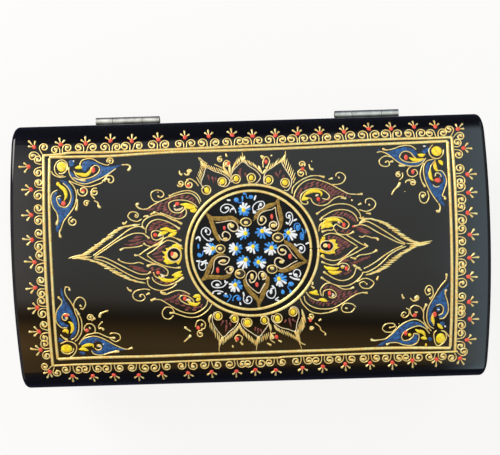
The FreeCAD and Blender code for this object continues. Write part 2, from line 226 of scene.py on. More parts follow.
def stroke(piece, path, width, profile=EVEN, height=None, flat=False, step=None):
    """One stroke of paint along a path: a half-round bead, or a flat band."""
    step = step or max(FINEST_STEP, min(WIDEST_STEP, width / 3))
    middle, widths = stations(path, width, profile, step)
    way = np.gradient(middle, axis=0)
    way /= np.maximum(np.linalg.norm(way, axis=1), TINY)[:, None]
    side = np.stack([-way[:, 1], way[:, 0]], -1)
    across, up = np.array(BAND_SHARES if flat else BEAD_SHARES).T
    top = BEAD_HEIGHT * width if height is None else height
    share = np.minimum(1, widths / (BAND_THINNING * width)) if flat else (widths / width) ** BEAD_THINNING
    tall = top * share
    u = middle[:, None, 0] + side[:, None, 0] * across * widths[:, None] / 2
    s = middle[:, None, 1] + side[:, None, 1] * across * widths[:, None] / 2
    lift = up * tall[:, None] - SINK * (up == 0)
    rows, cols = len(middle), len(across)
    i, j = np.meshgrid(np.arange(rows - 1), np.arange(cols - 1), indexing="ij")
    first = (i * cols + j).ravel()
    faces = np.stack([first, first + cols, first + cols + 1, first + 1], -1)
    add_piece(piece, on_lid(u.ravel(), s.ravel(), lift.ravel()), faces)


def dot(piece, centre, radius, height=None, stretch=1.0, turn=0.0):
    """A round or oval drop of paint."""
    top = 0.5 * radius if height is None else height
    angle = np.linspace(0, 2 * math.pi, DOT_SPOKES, endpoint=False)
    cos, sin = math.cos(turn), math.sin(turn)
    share, tall = np.array(DOT_RINGS).T
    x = np.multiply.outer(share, np.cos(angle)) * radius * stretch
    y = np.multiply.outer(share, np.sin(angle)) * radius
    lift = np.repeat(tall[:, None] * top - SINK * (tall[:, None] == 0), DOT_SPOKES, 1)
    u, s = centre[0] + x * cos - y * sin, centre[1] + x * sin + y * cos
    i, j = np.meshgrid(np.arange(len(share) - 1), np.arange(DOT_SPOKES), indexing="ij")
    here, there = i * DOT_SPOKES, (i + 1) * DOT_SPOKES
    ahead = (j + 1) % DOT_SPOKES
    faces = np.stack([here + j, here + ahead, there + ahead, there + j], -1)
    add_piece(piece, on_lid(u.ravel(), s.ravel(), lift.ravel()), faces.reshape(-1, 4))


def inside(points, outline):
    """True for each point inside a closed outline."""
    x, y = points[:, 0, None], points[:, 1, None]
    a, b = outline, np.roll(outline, -1, 0)
    spans = (a[None, :, 1] > y) != (b[None, :, 1] > y)
    rise = np.where(b[:, 1] == a[:, 1], TINY, b[:, 1] - a[:, 1])
    cross = a[None, :, 0] + (y - a[None, :, 1]) * (b - a)[None, :, 0] / rise[None]
    return (np.sum(spans & (x < cross), 1) % 2) == 1


def distance_to(points, outline):
    """Distance of each point from the nearest point of an outline."""
    return np.sqrt(((points[:, None] - outline[None]) ** 2).sum(-1)).min(1)


def streaks(flat):
    """Faint ridges that a brush leaves in a flat area of paint."""
    return STREAK_HEIGHT * np.sin(flat[:, 0] * STREAK_RATE + np.sin(flat[:, 1] * WAVER_RATE) * WAVER)


def patch(piece, outline, height=0.1 * MM, edge=0.28 * MM, step=0.75 * MM):
    """A flat area of paint inside a closed outline, with a rounded rim."""
    closed = smooth(np.vstack([outline, outline[:1]]), OUTLINE_STEP)[:-1]
    count = len(closed)
    before, after = np.roll(closed, 1, 0), np.roll(closed, -1, 0)
    way = after - before
    way /= np.maximum(np.linalg.norm(way, axis=1), TINY)[:, None]
    area = 0.5 * np.sum(closed[:, 0] * after[:, 1] - after[:, 0] * closed[:, 1])
    inward = np.stack([-way[:, 1], way[:, 0]], -1) * (1 if area > 0 else -1)
    rim = closed + inward * edge * 0.5
    low, high = closed.min(0), closed.max(0)
    grid = np.stack(np.meshgrid(np.arange(low[0], high[0], step), np.arange(low[1], high[1], step)), -1)
    grid = grid.reshape(-1, 2)
    grid = grid[inside(grid, closed) & (distance_to(grid, closed) > edge)]
    points = np.vstack([closed, rim[inside(rim, closed)], grid])
    edges = [(i, (i + 1) % count) for i in range(count)]
    corners = [Vector(p) for p in points * PER_METRE]
    verts, _, faces, *_ = geometry.delaunay_2d_cdt(corners, edges, [], 0, JOINED)
    flat = np.array([[v.x, v.y] for v in verts]) * MM
    faces = np.array([f for f in faces if len(f) == 3])
    faces = faces[inside(flat[faces].mean(1), closed)]
    gap = distance_to(flat, closed)
    lift = np.where(gap < ON_OUTLINE, -SINK, height * np.sqrt(np.clip(gap / edge, 0, 1)) + streaks(flat))
    turn = np.cross(flat[faces[:, 1]] - flat[faces[:, 0]], flat[faces[:, 2]] - flat[faces[:, 0]])
    faces = np.where(turn[:, None] > 0, faces, faces[:, ::-1])
    add_piece(piece, on_lid(flat[:, 0], flat[:, 1], lift), faces)


def circle(centre, radius, count=60, squash=1.0):
    """A closed path round a centre."""
    a = np.linspace(0, 2 * math.pi, count + 1)
    return np.stack([centre[0] + radius * np.cos(a), centre[1] + radius * squash * np.sin(a)], -1)


def spiral(start, centre, turns, side, inner, count=16):
    """A curl that runs from a start point in to its centre, as far as a share of its radius."""
    out = np.array(start, float) - np.array(centre, float)
    t = np.linspace(0, 1, count)
    radius = np.linalg.norm(out) * (1 - (1 - inner) * t)
    angle = math.atan2(out[1], out[0]) + side * 2 * math.pi * turns * t
    return np.stack([centre[0] + radius * np.cos(angle), centre[1] + radius * np.sin(angle)], -1)


def ring_path(x, y, radius, start, turns, inner=0.25, count=22):
    """A curl in photograph pixels: it starts at an angle and winds in to a share of its radius."""
    t = np.linspace(0, 1, count)
    reach = radius * (1 - (1 - inner) * t**1.3)
    angle = math.radians(start) + 2 * math.pi * turns * t
    return np.stack([x + reach * np.cos(angle), y - reach * np.sin(angle)], -1)


# Size of a pixel of the photograph on the lid
PIXEL = 0.373 * MM

# Brushes: width, profile and height; a stroke without a height is a half-round bead
Brush = namedtuple("Brush", ("width", "profile", "height"), defaults=(EVEN, None))
FRAME_STEP = 0.8 * MM
MEDALLION_RING = Brush(1.08 * MM)
SCROLL = Brush(0.5 * MM, ((0, 0.75), (0.5, 0.95), (0.8, 1.25), (1, 1.3)))
SPRIG_PETAL = Brush(1.0 * MM, PETAL)
THIN_LINE = Brush(0.45 * MM)
CURL_LINE = Brush(THIN_LINE.width * 1.15)
GOLD_DROP = Brush(1.16 * MM, DROP)
GOLD_LEAF = Brush(1.05 * MM, SWELL)
GOLD_TIP = Brush(0.85 * MM, SWELL)
MAROON_MARK = Brush(1.0 * MM, SWELL, 0.1 * MM)
MAROON_COMB = Brush(0.84 * MM, SWELL, 0.09 * MM)
MAROON_VEIN = Brush(1.05 * MM, TAPER, 0.1 * MM)
YELLOW_MARK = Brush(1.45 * MM, SWELL, 0.24 * MM)
CREAM_MARK = Brush(0.9 * MM, SWELL, 0.3 * MM)
CREAM_RING = Brush(0.4 * MM, EVEN, 0.3 * MM)
SPIKE_NEEDLE = Brush(0.45 * MM, ((0, 0.6), (1, 1)))
SPIKE_ROOT = Brush(1.25 * MM, ((0, 0.3), (0.6, 0.8), (1, 1)))
PETAL_OUTLINE = Brush(0.34 * MM)
PETAL_CURL = Brush(0.5 * MM, ((0, 0.7), (0.6, 1.1), (1, 0.7)))
BARB = Brush(0.44 * MM, SWELL, 0.24 * MM)
LEAF_BAND = Brush(1.75 * MM, ((0, 0.12), (0.12, 0.5), (0.3, 1), (1, 0.85)), 0.12 * MM)
LEAF_RIB = Brush(0.6 * MM, SWELL, 0.15 * MM)
LEAF_SHADE = Brush(0.24 * MM, SWELL, 0.19 * MM)
LEAF_LINE = Brush(0.42 * MM, ((0, 0.8), (0.6, 1), (1, 1.5)), 0.22 * MM)
OVAL_LINE = Brush(0.42 * MM, ((0, 0.7), (0.3, 1.2), (0.7, 1.3), (1, 0.7)), 0.22 * MM)
SPRAY_LINE = Brush(0.44 * MM, EVEN, 0.16 * MM)
SPRAY_DAB = Brush(0.8 * MM, ((0, 0.7), (0.5, 1), (1, 0.9)), 0.2 * MM)
DAISY_PROFILE = ((0, 0.55), (0.5, 0.85), (1, 0.95))
ROPE_HEIGHT = 0.3 * MM

# Drops of paint: height, and two radii in pixels where they are always the same
BLOB_HEIGHT = 0.3 * MM
CURL_BLOB_PX, OVAL_BLOB_PX, DAISY_EYE_PX = (1.6, 1.4), (2.3, 1.8), (2.2, 2.5)
BURST_EYE_HEIGHT, BURST_BLOB_HEIGHT = 0.15 * MM, 0.24 * MM
PETAL_EYE_HEIGHT, DAISY_EYE_HEIGHT = 0.24 * MM, 0.34 * MM
LEAF_DROP_HEIGHT, OVAL_SHADE_HEIGHT, SPRAY_BLOB_HEIGHT = 0.22 * MM, 0.08 * MM, 0.26 * MM

# Curls of the border sprigs: radius, offset and turns with their spread, and the share they wind in to.
# Radius, offset and stem are in millimetres. The eye of a curl is no further out than a share of the gap
# between line and dot, and the stem bends a share of its way towards the curl.
CURL_RADIUS, CURL_OFFSET, CURL_TURNS, CURL_INNER = (1.84, 0.14), (2.45, 0.2), (1.22, 0.12), 0.26
CURL_STEM, STEM_STRAY, STEM_BEND = 0.45, (-0.2, 0.3), 0.45
CURL_LEVEL, CURL_CLEARANCE = 0.56, 0.1 * MM
CURL_DOT, CURL_DOT_HEIGHT, CURL_DOT_STRETCH = 0.62 * MM, 0.34 * MM, 1.35

# Petals of the border sprigs: angle and share of the reach, how both stray, and where they start
SPRIG_PETALS = ((-48, 0.78), (0, 1.0), (46, 0.72))
FAN_STRAY, FAN_SHARES, FAN_START = 7, (0.93, 1.05), 0.5 * MM
SPRIG_DOT, SPRIG_DOT_STRETCH = 0.78 * MM, 1.2

# Combed fields, in pixels: gap, reach and step of the marks, how they stray, and the fewest steps of a mark
COMB_GAP, COMB_REACH, COMB_STEP = 2.35, 6.0, 0.35
COMB_GAPS, COMB_STRAY, COMB_WAVE = (0.9, 1.12), 0.8, (0.3, 0.6)
COMB_FEWEST = 3

# Short marks along a path, and how they stray: degrees of their turn, shares of length, gap, bend and width
ROPE_TURN, ROPE_HALF, ROPE_BEND = 6, (0.42, 0.55), 0.08
HATCH_TURN, HATCH_LENGTHS, HATCH_GAPS = 7, (0.85, 1.1), (0.85, 1.15)
BARB_TURN, BARB_REACHES, BARB_WIDTHS = 4, (0.9, 1.1), (0.85, 1.15)
BARB_START, BARB_BEND = 0.3, 0.35

# Leaves: lean of the ribs on the two sides, and the share of it that the fine shading has
RIB_LEANS, SHADE_LEAN = (20, -20), 0.6

# Small ovals: the share that the shade fills, and points of the rings of ovals and eyes
OVAL_SHADE = 0.85
EYE_POINTS, CREAM_POINTS = 24, 30

# Daisies: numbers of petals, how they stray round the eye, and which of them are white
DAISY_COUNTS = (10, 11)
DAISY_STRAY, FACING_STRAY, WHITE_FROM = 0.22, 0.6, 0.2
DAISY_REACHES, DAISY_ROOT = (0.94, 1.14), 0.22
DAISY_WIDTHS, DAISY_HEIGHTS = (0.95, 1.2), (0.15, 0.22)

# The double gold frame as read from the photograph, line by line, then each line with its width
FRAME_TOP_PX = ((42, 155.6), (60, 154.2), (72, 152.6), (110, 152), (140, 150.6), (180, 148.9), (240, 146.2),
                (300, 143.6), (360, 140.3), (400, 138.7), (430, 138), (452.4, 137))
FRAME_RIGHT_PX = ((451.6, 136.6), (453.5, 160), (454.8, 180), (456.4, 220), (457.1, 250), (456.7, 280),
                  (456.2, 320), (455, 350.6))
FRAME_BOTTOM_PX = ((458, 351.4), (430, 352.5), (370, 353.6), (325, 355.1), (286, 356.7), (279, 357.7),
                   (260, 358.2), (220, 359.9), (180, 361.5), (150, 362.8), (120, 363.5), (80, 364.5),
                   (53.4, 365.7))
FRAME_LEFT_PX = ((53, 366.6), (51.2, 350), (48.7, 320), (45.9, 280), (44.4, 240), (43.7, 210), (43.6, 180),
                 (43.4, 155.4))
INNER_TOP_PX = ((49, 157.2), (80, 156.7), (110, 156), (140, 154), (180, 151.7), (240, 150), (300, 147.7),
                (360, 144.9), (400, 143.2), (448, 141))
INNER_RIGHT_PX = ((447.5, 141), (448.3, 160), (450.3, 200), (451.6, 240), (452, 270), (451.5, 320),
                  (450.3, 347.6))
INNER_BOTTOM_PX = ((451, 348), (390, 348), (340, 349.9), (300, 351.1), (250, 352.8), (200, 354.5),
                   (150, 356.4), (100, 357.5), (58, 359.2))
INNER_LEFT_PX = ((57.8, 359.6), (55.9, 340), (53.2, 300), (51.2, 262), (49.8, 230), (49.1, 200),
                 (49.5, 158))
FRAME_PX = ((FRAME_TOP_PX, 1.0 * MM), (FRAME_RIGHT_PX, 1.12 * MM), (FRAME_BOTTOM_PX, 0.82 * MM),
            (FRAME_LEFT_PX, 1.12 * MM), (INNER_TOP_PX, 1.12 * MM), (INNER_RIGHT_PX, 1.12 * MM),
            (INNER_BOTTOM_PX, 1.15 * MM), (INNER_LEFT_PX, 1.05 * MM))

# The medallion's two rings: middle in the photograph and radius
RINGS = (((252.3, 250.6), 24.45 * MM), ((251.2, 250.4), 22.1 * MM))

# Red dots of the border sprigs
TOP_DOTS_PX = ((60.7, 144.6), (85.7, 143.4), (110.6, 140.7), (131.8, 141), (158.4, 139.6), (185, 137.4),
               (208.8, 136.2), (232.1, 135), (252.7, 136), (275.5, 135.4), (297.7, 133.7), (320, 133),
               (344.1, 131.8), (368.8, 128.8), (391.2, 128.6), (414.1, 126.8), (435.4, 126.6))
BOTTOM_DOTS_PX = ((72.7, 376), (92.7, 375.9), (113.9, 375), (138.8, 375), (161.8, 373.5), (188.2, 373),
                  (211.5, 371.8), (236.5, 371.2), (255.4, 369.8), (276, 370), (302.6, 367.8), (323, 366.6),
                  (345.3, 364.2), (369.9, 363), (392.3, 362.6), (412.4, 360.6), (436.5, 359.4))
LEFT_DOTS_PX = ((28.7, 166.7), (31, 189.5), (31.2, 215), (32.1, 240), (34.5, 262.2), (35.1, 287.7),
                (37.3, 307.8), (39, 331.6), (40.7, 350))
RIGHT_DOTS_PX = ((463.5, 148), (467.5, 174.4), (468.5, 192.8), (467.8, 212.8), (470, 234.7), (469.6, 257.8),
                 (468.5, 276.7), (469, 302), (469.8, 319.2), (467, 339.9))
CORNER_DOTS_PX = ((34, 147), (457.8, 129), (460, 358.3), (49.9, 371.8))

# Sides of the border: the dots, the line that they stand on and the reach of the petals
SIDES = (
    (TOP_DOTS_PX, FRAME_TOP_PX, 3.3 * MM),
    (RIGHT_DOTS_PX, FRAME_RIGHT_PX, 3.6 * MM),
    (BOTTOM_DOTS_PX, FRAME_BOTTOM_PX, 3.3 * MM),
    (LEFT_DOTS_PX, FRAME_LEFT_PX, 3.8 * MM),
)
CORNER_REACH = 3.4 * MM

# Ornament read from the photograph, by motif. Each motif lists its marks by kind: lines are even, drops
# swell towards their last point, strokes and leaves swell in the middle, rings are curls (x, y, radius,
# first angle, turns) with a drop inside, patches are closed outlines, combs are an angle in degrees and
# the outline to fill with short marks, spots and discs are (x, y, two radii), and a burst is its
# outline, its eye and its blob.
# Ropes are a path, the number, length and angle of the marks, and their width, and tips are paths.
# All are in pixels.
TOP_LEFT_CORNER_PX = {
    "gold_line": (
        ((67.8, 170), (67, 163.6), (62.6, 160), (57.4, 161.8), (54.6, 167), (55.4, 172.4), (59.4, 176),
         (63.4, 175.6)),
        ((51, 171), (54, 175), (60, 177.3), (66, 176.5)),
        ((80, 168), (80.5, 163), (84, 159.5), (92, 158.8), (99, 162.5), (106, 165), (109.5, 164.5)),
        ((69, 167), (69, 172), (71.5, 177.5), (77, 182), (86, 183.8), (96, 180.5), (106, 175.5),
         (116, 168.5)),
        ((69, 181), (78, 184.5), (88, 186.7), (97, 184.5), (103, 182)),
        ((74, 171), (77, 176.5), (84, 178.7), (92, 177), (98, 173), (99.5, 168.5), (97, 165.5), (93.5, 166),
         (90.5, 169)),
        ((57.5, 190), (53, 192.5), (51, 198), (52.5, 206), (57, 213)),
        ((69, 181.5), (74, 187), (76.5, 195), (75, 205), (70, 213), (64, 221), (61, 229)),
        ((63, 183), (68, 188), (71, 195), (70, 202), (66, 207), (60, 206), (57, 201), (57, 197.5),
         (61, 195.5)),
    ),
    "gold_drop": (
        ((121.5, 165), (128, 164.8), (130.3, 167.5), (127.5, 171)),
        ((102, 181.5), (105, 179.5), (107.5, 178)), ((57, 213), (58, 219), (56.3, 225.5)),
        ((61, 229), (59.5, 233), (60.8, 238)), ((77.3, 199), (77.3, 205), (76, 211)),
        ((94, 200.5), (98, 203), (98.5, 206), (101, 208)), ((95, 199), (91.5, 195), (92, 190.5)),
        ((73, 177.5), (80, 180), (86, 180.5)),
    ),
    "gold_ring": (
        (61, 167, 6.8, 250, 1.1), (110.5, 161.3, 3.6, 200, -1.2), (110, 180, 5.3, 200, -1.1),
        (83, 191, 5.6, 160, 1.3), (73, 221.5, 4.8, 100, 1.2), (95, 192, 4, 60, 1.2),
        (86.5, 203.5, 3.2, 30, 1.0),
    ),
    "blue_patch": (
        ((81, 168), (83, 162), (90, 160.3), (97, 163), (104, 166.3), (113, 166), (121.5, 164.6),
         (116, 168.6), (107, 174.5), (96, 180), (87, 183.2), (77.5, 181.2), (71, 176), (69, 170.5),
         (73, 173.5), (77, 177.5), (85, 179.5), (93, 177.8), (99, 173.3), (100.5, 168), (97, 164.6),
         (92, 165), (88, 168.5), (84, 171.5)),
        ((59.5, 180), (65.5, 181), (71, 187), (73.8, 196), (72.6, 205), (68, 214), (62, 222), (58.3, 232),
         (55.8, 230), (56.6, 224.5), (59, 219.5), (57, 212), (53, 205), (51.8, 198.5), (54, 193.5),
         (57.5, 192), (56, 198), (57.5, 204), (62, 208), (67, 207), (70.5, 202), (71, 195), (68, 188.5),
         (63.5, 184)),
        ((68.5, 162), (71, 160), (74, 161.5), (73.5, 165.5), (70, 166.5)),
        ((57.5, 199), (60, 197.6), (61.8, 200), (60.4, 203.4), (58, 202.6)),
    ),
    "yellow_stroke": (
        ((75, 168), (80, 167.2), (82.5, 168.5)),
        ((75, 173), (80, 174.3), (86, 175), (90, 171.5), (92, 167)),
        ((57, 182), (60, 186), (64.5, 190), (66, 196), (64, 201)), ((58.5, 182), (57.5, 186)),
    ),
    "yellow_disc": ((61.5, 166.5, 4.7, 5.6),),
    "red_spot": ((93.3, 170, 2.1, 3.2), (63.5, 203.5, 2.4, 2.6), (83.3, 190.8, 1.9, 1.7)),
    "white_spot": ((73.5, 161.2, 1.0, 1.0), (59, 198.6, 1.2, 0.8)),
}

TOP_RIGHT_CORNER_PX = {
    "gold_line": (
        ((432.8, 144.5), (429.3, 149), (429.4, 154), (432.8, 157.6), (438.1, 158.4), (442.6, 154.8),
         (443.6, 149.3)),
        ((388.4, 149.9), (394.5, 148.5), (399.9, 146.3), (406.8, 145.4), (412.1, 146.4), (416.2, 149.6)),
        ((377, 152.4), (381, 151.6), (387, 153.7), (392.2, 157.5), (399, 162.6), (407, 165.6), (416, 166),
         (421.6, 163.6), (426, 158)),
        ((399.3, 157), (401.4, 153), (405.4, 151.2), (410.6, 152.8), (413.6, 156.4), (416, 158)),
        ((399.3, 157), (402, 160), (407, 162), (414, 162.4), (420, 161.3), (424.5, 158.6)),
        ((433.6, 159.1), (427.2, 160.8), (424.2, 165.2), (423.6, 172), (425.1, 179.7), (429, 188.9),
         (433.6, 196.6), (438.1, 202.7)),
        ((423.6, 163), (421.3, 168.3), (420.2, 175.1), (422, 182)),
        ((437.5, 170.8), (441.4, 170.8), (445, 175.1), (446.6, 182), (444.4, 189.7), (442.1, 195.8)),
        ((434.6, 161), (430.9, 166), (429.4, 173)), ((435, 176.5), (436.4, 173), (440, 174), (441.4, 177)),
        ((432.8, 184.8), (435.9, 187), (439.6, 186)),
        ((416, 166), (410.8, 166.7), (407.5, 170.6), (408.3, 175.1), (412.9, 176.7), (417.4, 173.8),
         (416, 170), (412.5, 169.6)),
        ((391, 157), (385, 156), (379.7, 159.8), (380.2, 164.5), (385, 166.5), (389.3, 165), (388, 161),
         (384.8, 162)),
        ((402.4, 172.5), (402.6, 176.7), (399.3, 180.1)),
        ((427.4, 190.6), (429, 196.6), (427.4, 201.2), (424.2, 203.1), (420.6, 201.2), (419.4, 195.8),
         (421.4, 192.2), (425, 193), (425.6, 196)),
    ),
    "gold_drop": (
        ((388.4, 150), (385, 149.8), (382.3, 148.4)), ((405.4, 166), (398.6, 165.4)),
        ((422, 182), (425.6, 187.2)), ((438.6, 203), (440.3, 207.3), (438.9, 211.5), (436, 210.4)),
        ((388, 162.4), (393.5, 161)), ((442.1, 195.8), (445, 197.3), (445, 200)),
        ((391.5, 195), (394.5, 189.7), (398.4, 185.9), (400.3, 182)),
        ((405.2, 183), (406.8, 180.6), (411, 180)), ((404.9, 191), (404.9, 192)),
        ((385.4, 161.5), (386.2, 163)), ((434.6, 159.6), (435.4, 160.6)),
    ),
    "gold_ring": (
        (398.6, 174.6, 2.9, 60, 1.1), (412.6, 182.6, 3.2, 120, -1.2), (422.9, 196.2, 1.6, 0, 0.8),
    ),
    "blue_patch": (
        ((378, 149), (384, 151.8), (391, 151), (397.8, 148.6), (404.6, 147), (412, 148.8), (417, 152.4),
         (414.8, 156.2), (411, 152.4), (405.4, 150.6), (400.8, 152.6), (398.4, 157), (401.4, 160.8),
         (407, 162.8), (414, 163.2), (420.6, 161.8), (426, 158), (422, 162.8), (415, 165.6), (407, 165.2),
         (399.4, 162), (391.6, 156.4), (385, 153), (378.6, 150.6)),
        ((434.4, 160.3), (430.2, 165.2), (428.6, 172), (429.6, 179), (433, 184.6), (438.6, 185.4),
         (443, 181.6), (442.4, 176), (439.4, 171.4), (442, 171.6), (445, 176), (445.8, 182), (443.6, 189.4),
         (441.6, 196.8), (445.4, 206.4), (441.8, 204.6), (437.8, 200), (432.2, 192.5), (427.8, 183.6),
         (425.4, 175.6), (425.4, 168), (427.8, 162.6)),
        ((421.6, 151.4), (424.8, 148.6), (429.6, 148), (428.4, 151.6), (424.4, 153.6)),
        ((439.6, 175.6), (442, 177.4), (441.2, 179.4), (439, 178)),
    ),
    "yellow_stroke": (
        ((409, 157.6), (413.7, 159.6), (419.6, 159.9), (423.4, 158.4)),
        ((417.6, 154.4), (421.2, 155.4), (425.4, 154.4)),
        ((435.2, 161.5), (435, 166), (436.4, 169.6), (439, 171)),
        ((430.2, 169), (430, 174.4), (431.3, 178.6), (433.6, 180.6)),
        ((438.4, 160.2), (441, 162.4), (442.6, 165.2)),
    ),
    "yellow_disc": ((436.6, 151, 5.4, 5.3),),
    "red_spot": ((406, 157.4, 2.0, 3.0), (437.8, 180.2, 3.3, 2.6), (412.9, 171.7, 1.7, 2.4)),
    "white_spot": ((424.4, 146.2, 1.6, 0.7),),
}

BOTTOM_RIGHT_CORNER_PX = {
    "gold_line": (
        ((436.6, 330.2), (434, 333.4), (434.2, 338.6), (435.9, 344.2), (439, 345.6), (443.6, 342.6),
         (446.4, 337.4), (445, 332.4), (441, 330.4)),
        ((443.5, 330.5), (446.4, 333), (449, 336.6)),
        ((446, 280), (440, 287), (434, 296.8), (428.4, 307.4), (426.8, 317.6), (429.2, 325.4),
         (434, 328.8)),
        ((423.6, 311), (423.8, 319.6), (426.4, 325), (431.4, 331)),
        ((445.6, 295.6), (447.8, 303), (448.2, 311), (444.4, 317.6), (439.4, 318.8)),
        ((436, 305.4), (440.4, 304.4), (443.4, 308), (442.4, 313), (438.6, 315.4)),
        ((432.6, 313), (431.8, 319), (434, 325.6)),
        ((379, 340), (386, 338.5), (393, 333), (400, 326), (408, 321), (416, 319.5), (423, 323),
         (428, 329)),
        ((401.2, 337), (403.7, 332.8), (410.6, 328.2), (418.3, 325.9), (425.1, 328.2), (429.7, 333.6)),
        ((401.2, 337), (403.7, 340.4), (409.1, 339.7), (412.9, 336.6), (413.9, 333.4)),
        ((413.9, 333.4), (418.3, 334.3), (419, 338.1), (416.7, 343), (410.6, 345.4), (403.7, 344.8),
         (396.8, 342.6), (390, 342.8)),
        ((397, 326.6), (393, 331.5), (386, 332), (382.5, 328.5), (386, 324), (393, 323.5), (395, 326),
         (389.5, 328)),
        ((424, 313), (420.6, 307.4), (414.4, 305.4), (410.2, 309), (411.2, 314.6), (414, 316.6)),
        ((406, 308), (409, 310), (408.5, 315), (404.2, 317.6), (401.2, 315), (404, 312), (406.4, 313.6)),
        ((430.6, 299), (433.2, 294), (432, 287.2), (428.2, 285.6), (425, 290), (427, 294.8), (431, 293.2)),
    ),
    "gold_drop": (
        ((446, 280), (446.6, 276), (446.4, 273.4)), ((423.6, 311), (425, 307), (427, 303.6)),
        ((445.6, 295.6), (445.2, 292), (446.6, 289)), ((379, 340), (374, 340.4), (370.4, 339.6)),
        ((390, 342.8), (387.6, 344), (386, 345)), ((402, 294), (402.8, 297), (404.4, 298.6)),
        ((410, 298), (413.6, 301), (418.2, 299), (417.4, 296.2), (414.6, 299.4)),
        ((430.6, 300), (430, 297)), ((398.6, 324), (399.4, 323.8)), ((396, 327.4), (396.8, 326.6)),
        ((391.6, 327), (389, 328)), ((414.6, 312.2), (417.8, 312.4)), ((404, 314.6), (403, 316)),
    ),
    "gold_ring": ((429, 290.4, 1.8, 0, 0.8),),
    "blue_patch": (
        ((449.4, 282.4), (443.6, 288.8), (437.6, 295.6), (432.2, 302), (428.8, 309.2), (428, 316.8),
         (429.6, 323.2), (433.4, 326.6), (431.2, 319.4), (432.2, 311.6), (435, 306.6), (440.4, 304),
         (444, 308), (442.8, 313.6), (438.8, 316), (440, 318), (444, 317), (447.4, 311.6), (447.2, 304),
         (444.8, 296), (447.8, 288.4)),
        ((376.2, 346.6), (381, 342.8), (387.8, 338.9), (395.4, 331.4), (403, 325), (410.6, 321.8),
         (418, 322), (423.6, 325.4), (427.8, 330.6), (424.8, 328), (418.3, 325.4), (410.6, 327.6),
         (403.4, 332.2), (400.6, 337), (403.4, 341), (409.4, 340.4), (413.6, 337), (415, 334.2), (418, 335),
         (418.2, 338.4), (416, 342.4), (410.4, 344.6), (403.8, 344), (397, 341.8), (390, 342),
         (383, 345.4)),
        ((439.6, 323.4), (441.4, 321.6), (444.8, 322), (444.6, 325), (441.6, 325.6)),
        ((436.4, 308), (439.4, 307), (440.4, 310), (437.6, 312)),
        ((427, 339), (430, 337), (432.4, 339.4), (430, 341.4)),
    ),
    "yellow_stroke": (
        ((437.6, 323.6), (440.2, 326.4), (443, 329)), ((433, 314.4), (432.4, 318.6), (434.2, 324)),
        ((415.4, 329.2), (418.4, 331.2), (422.6, 332.2), (425.6, 336.4)),
        ((420.8, 338.2), (424, 338), (427.2, 338.9)), ((424.8, 345), (427.2, 344.8)),
        ((408, 335.6), (411.4, 334)),
    ),
    "yellow_disc": ((440.6, 338.4, 4.9, 5.8),),
    "red_spot": ((434.8, 314.4, 2.0, 3.0), (405.7, 332.9, 2.0, 2.9), (414.8, 315.2, 2.2, 2.0)),
    "white_spot": ((445.2, 326.4, 0.9, 1.2), (438.4, 309.6, 1.6, 0.8)),
}

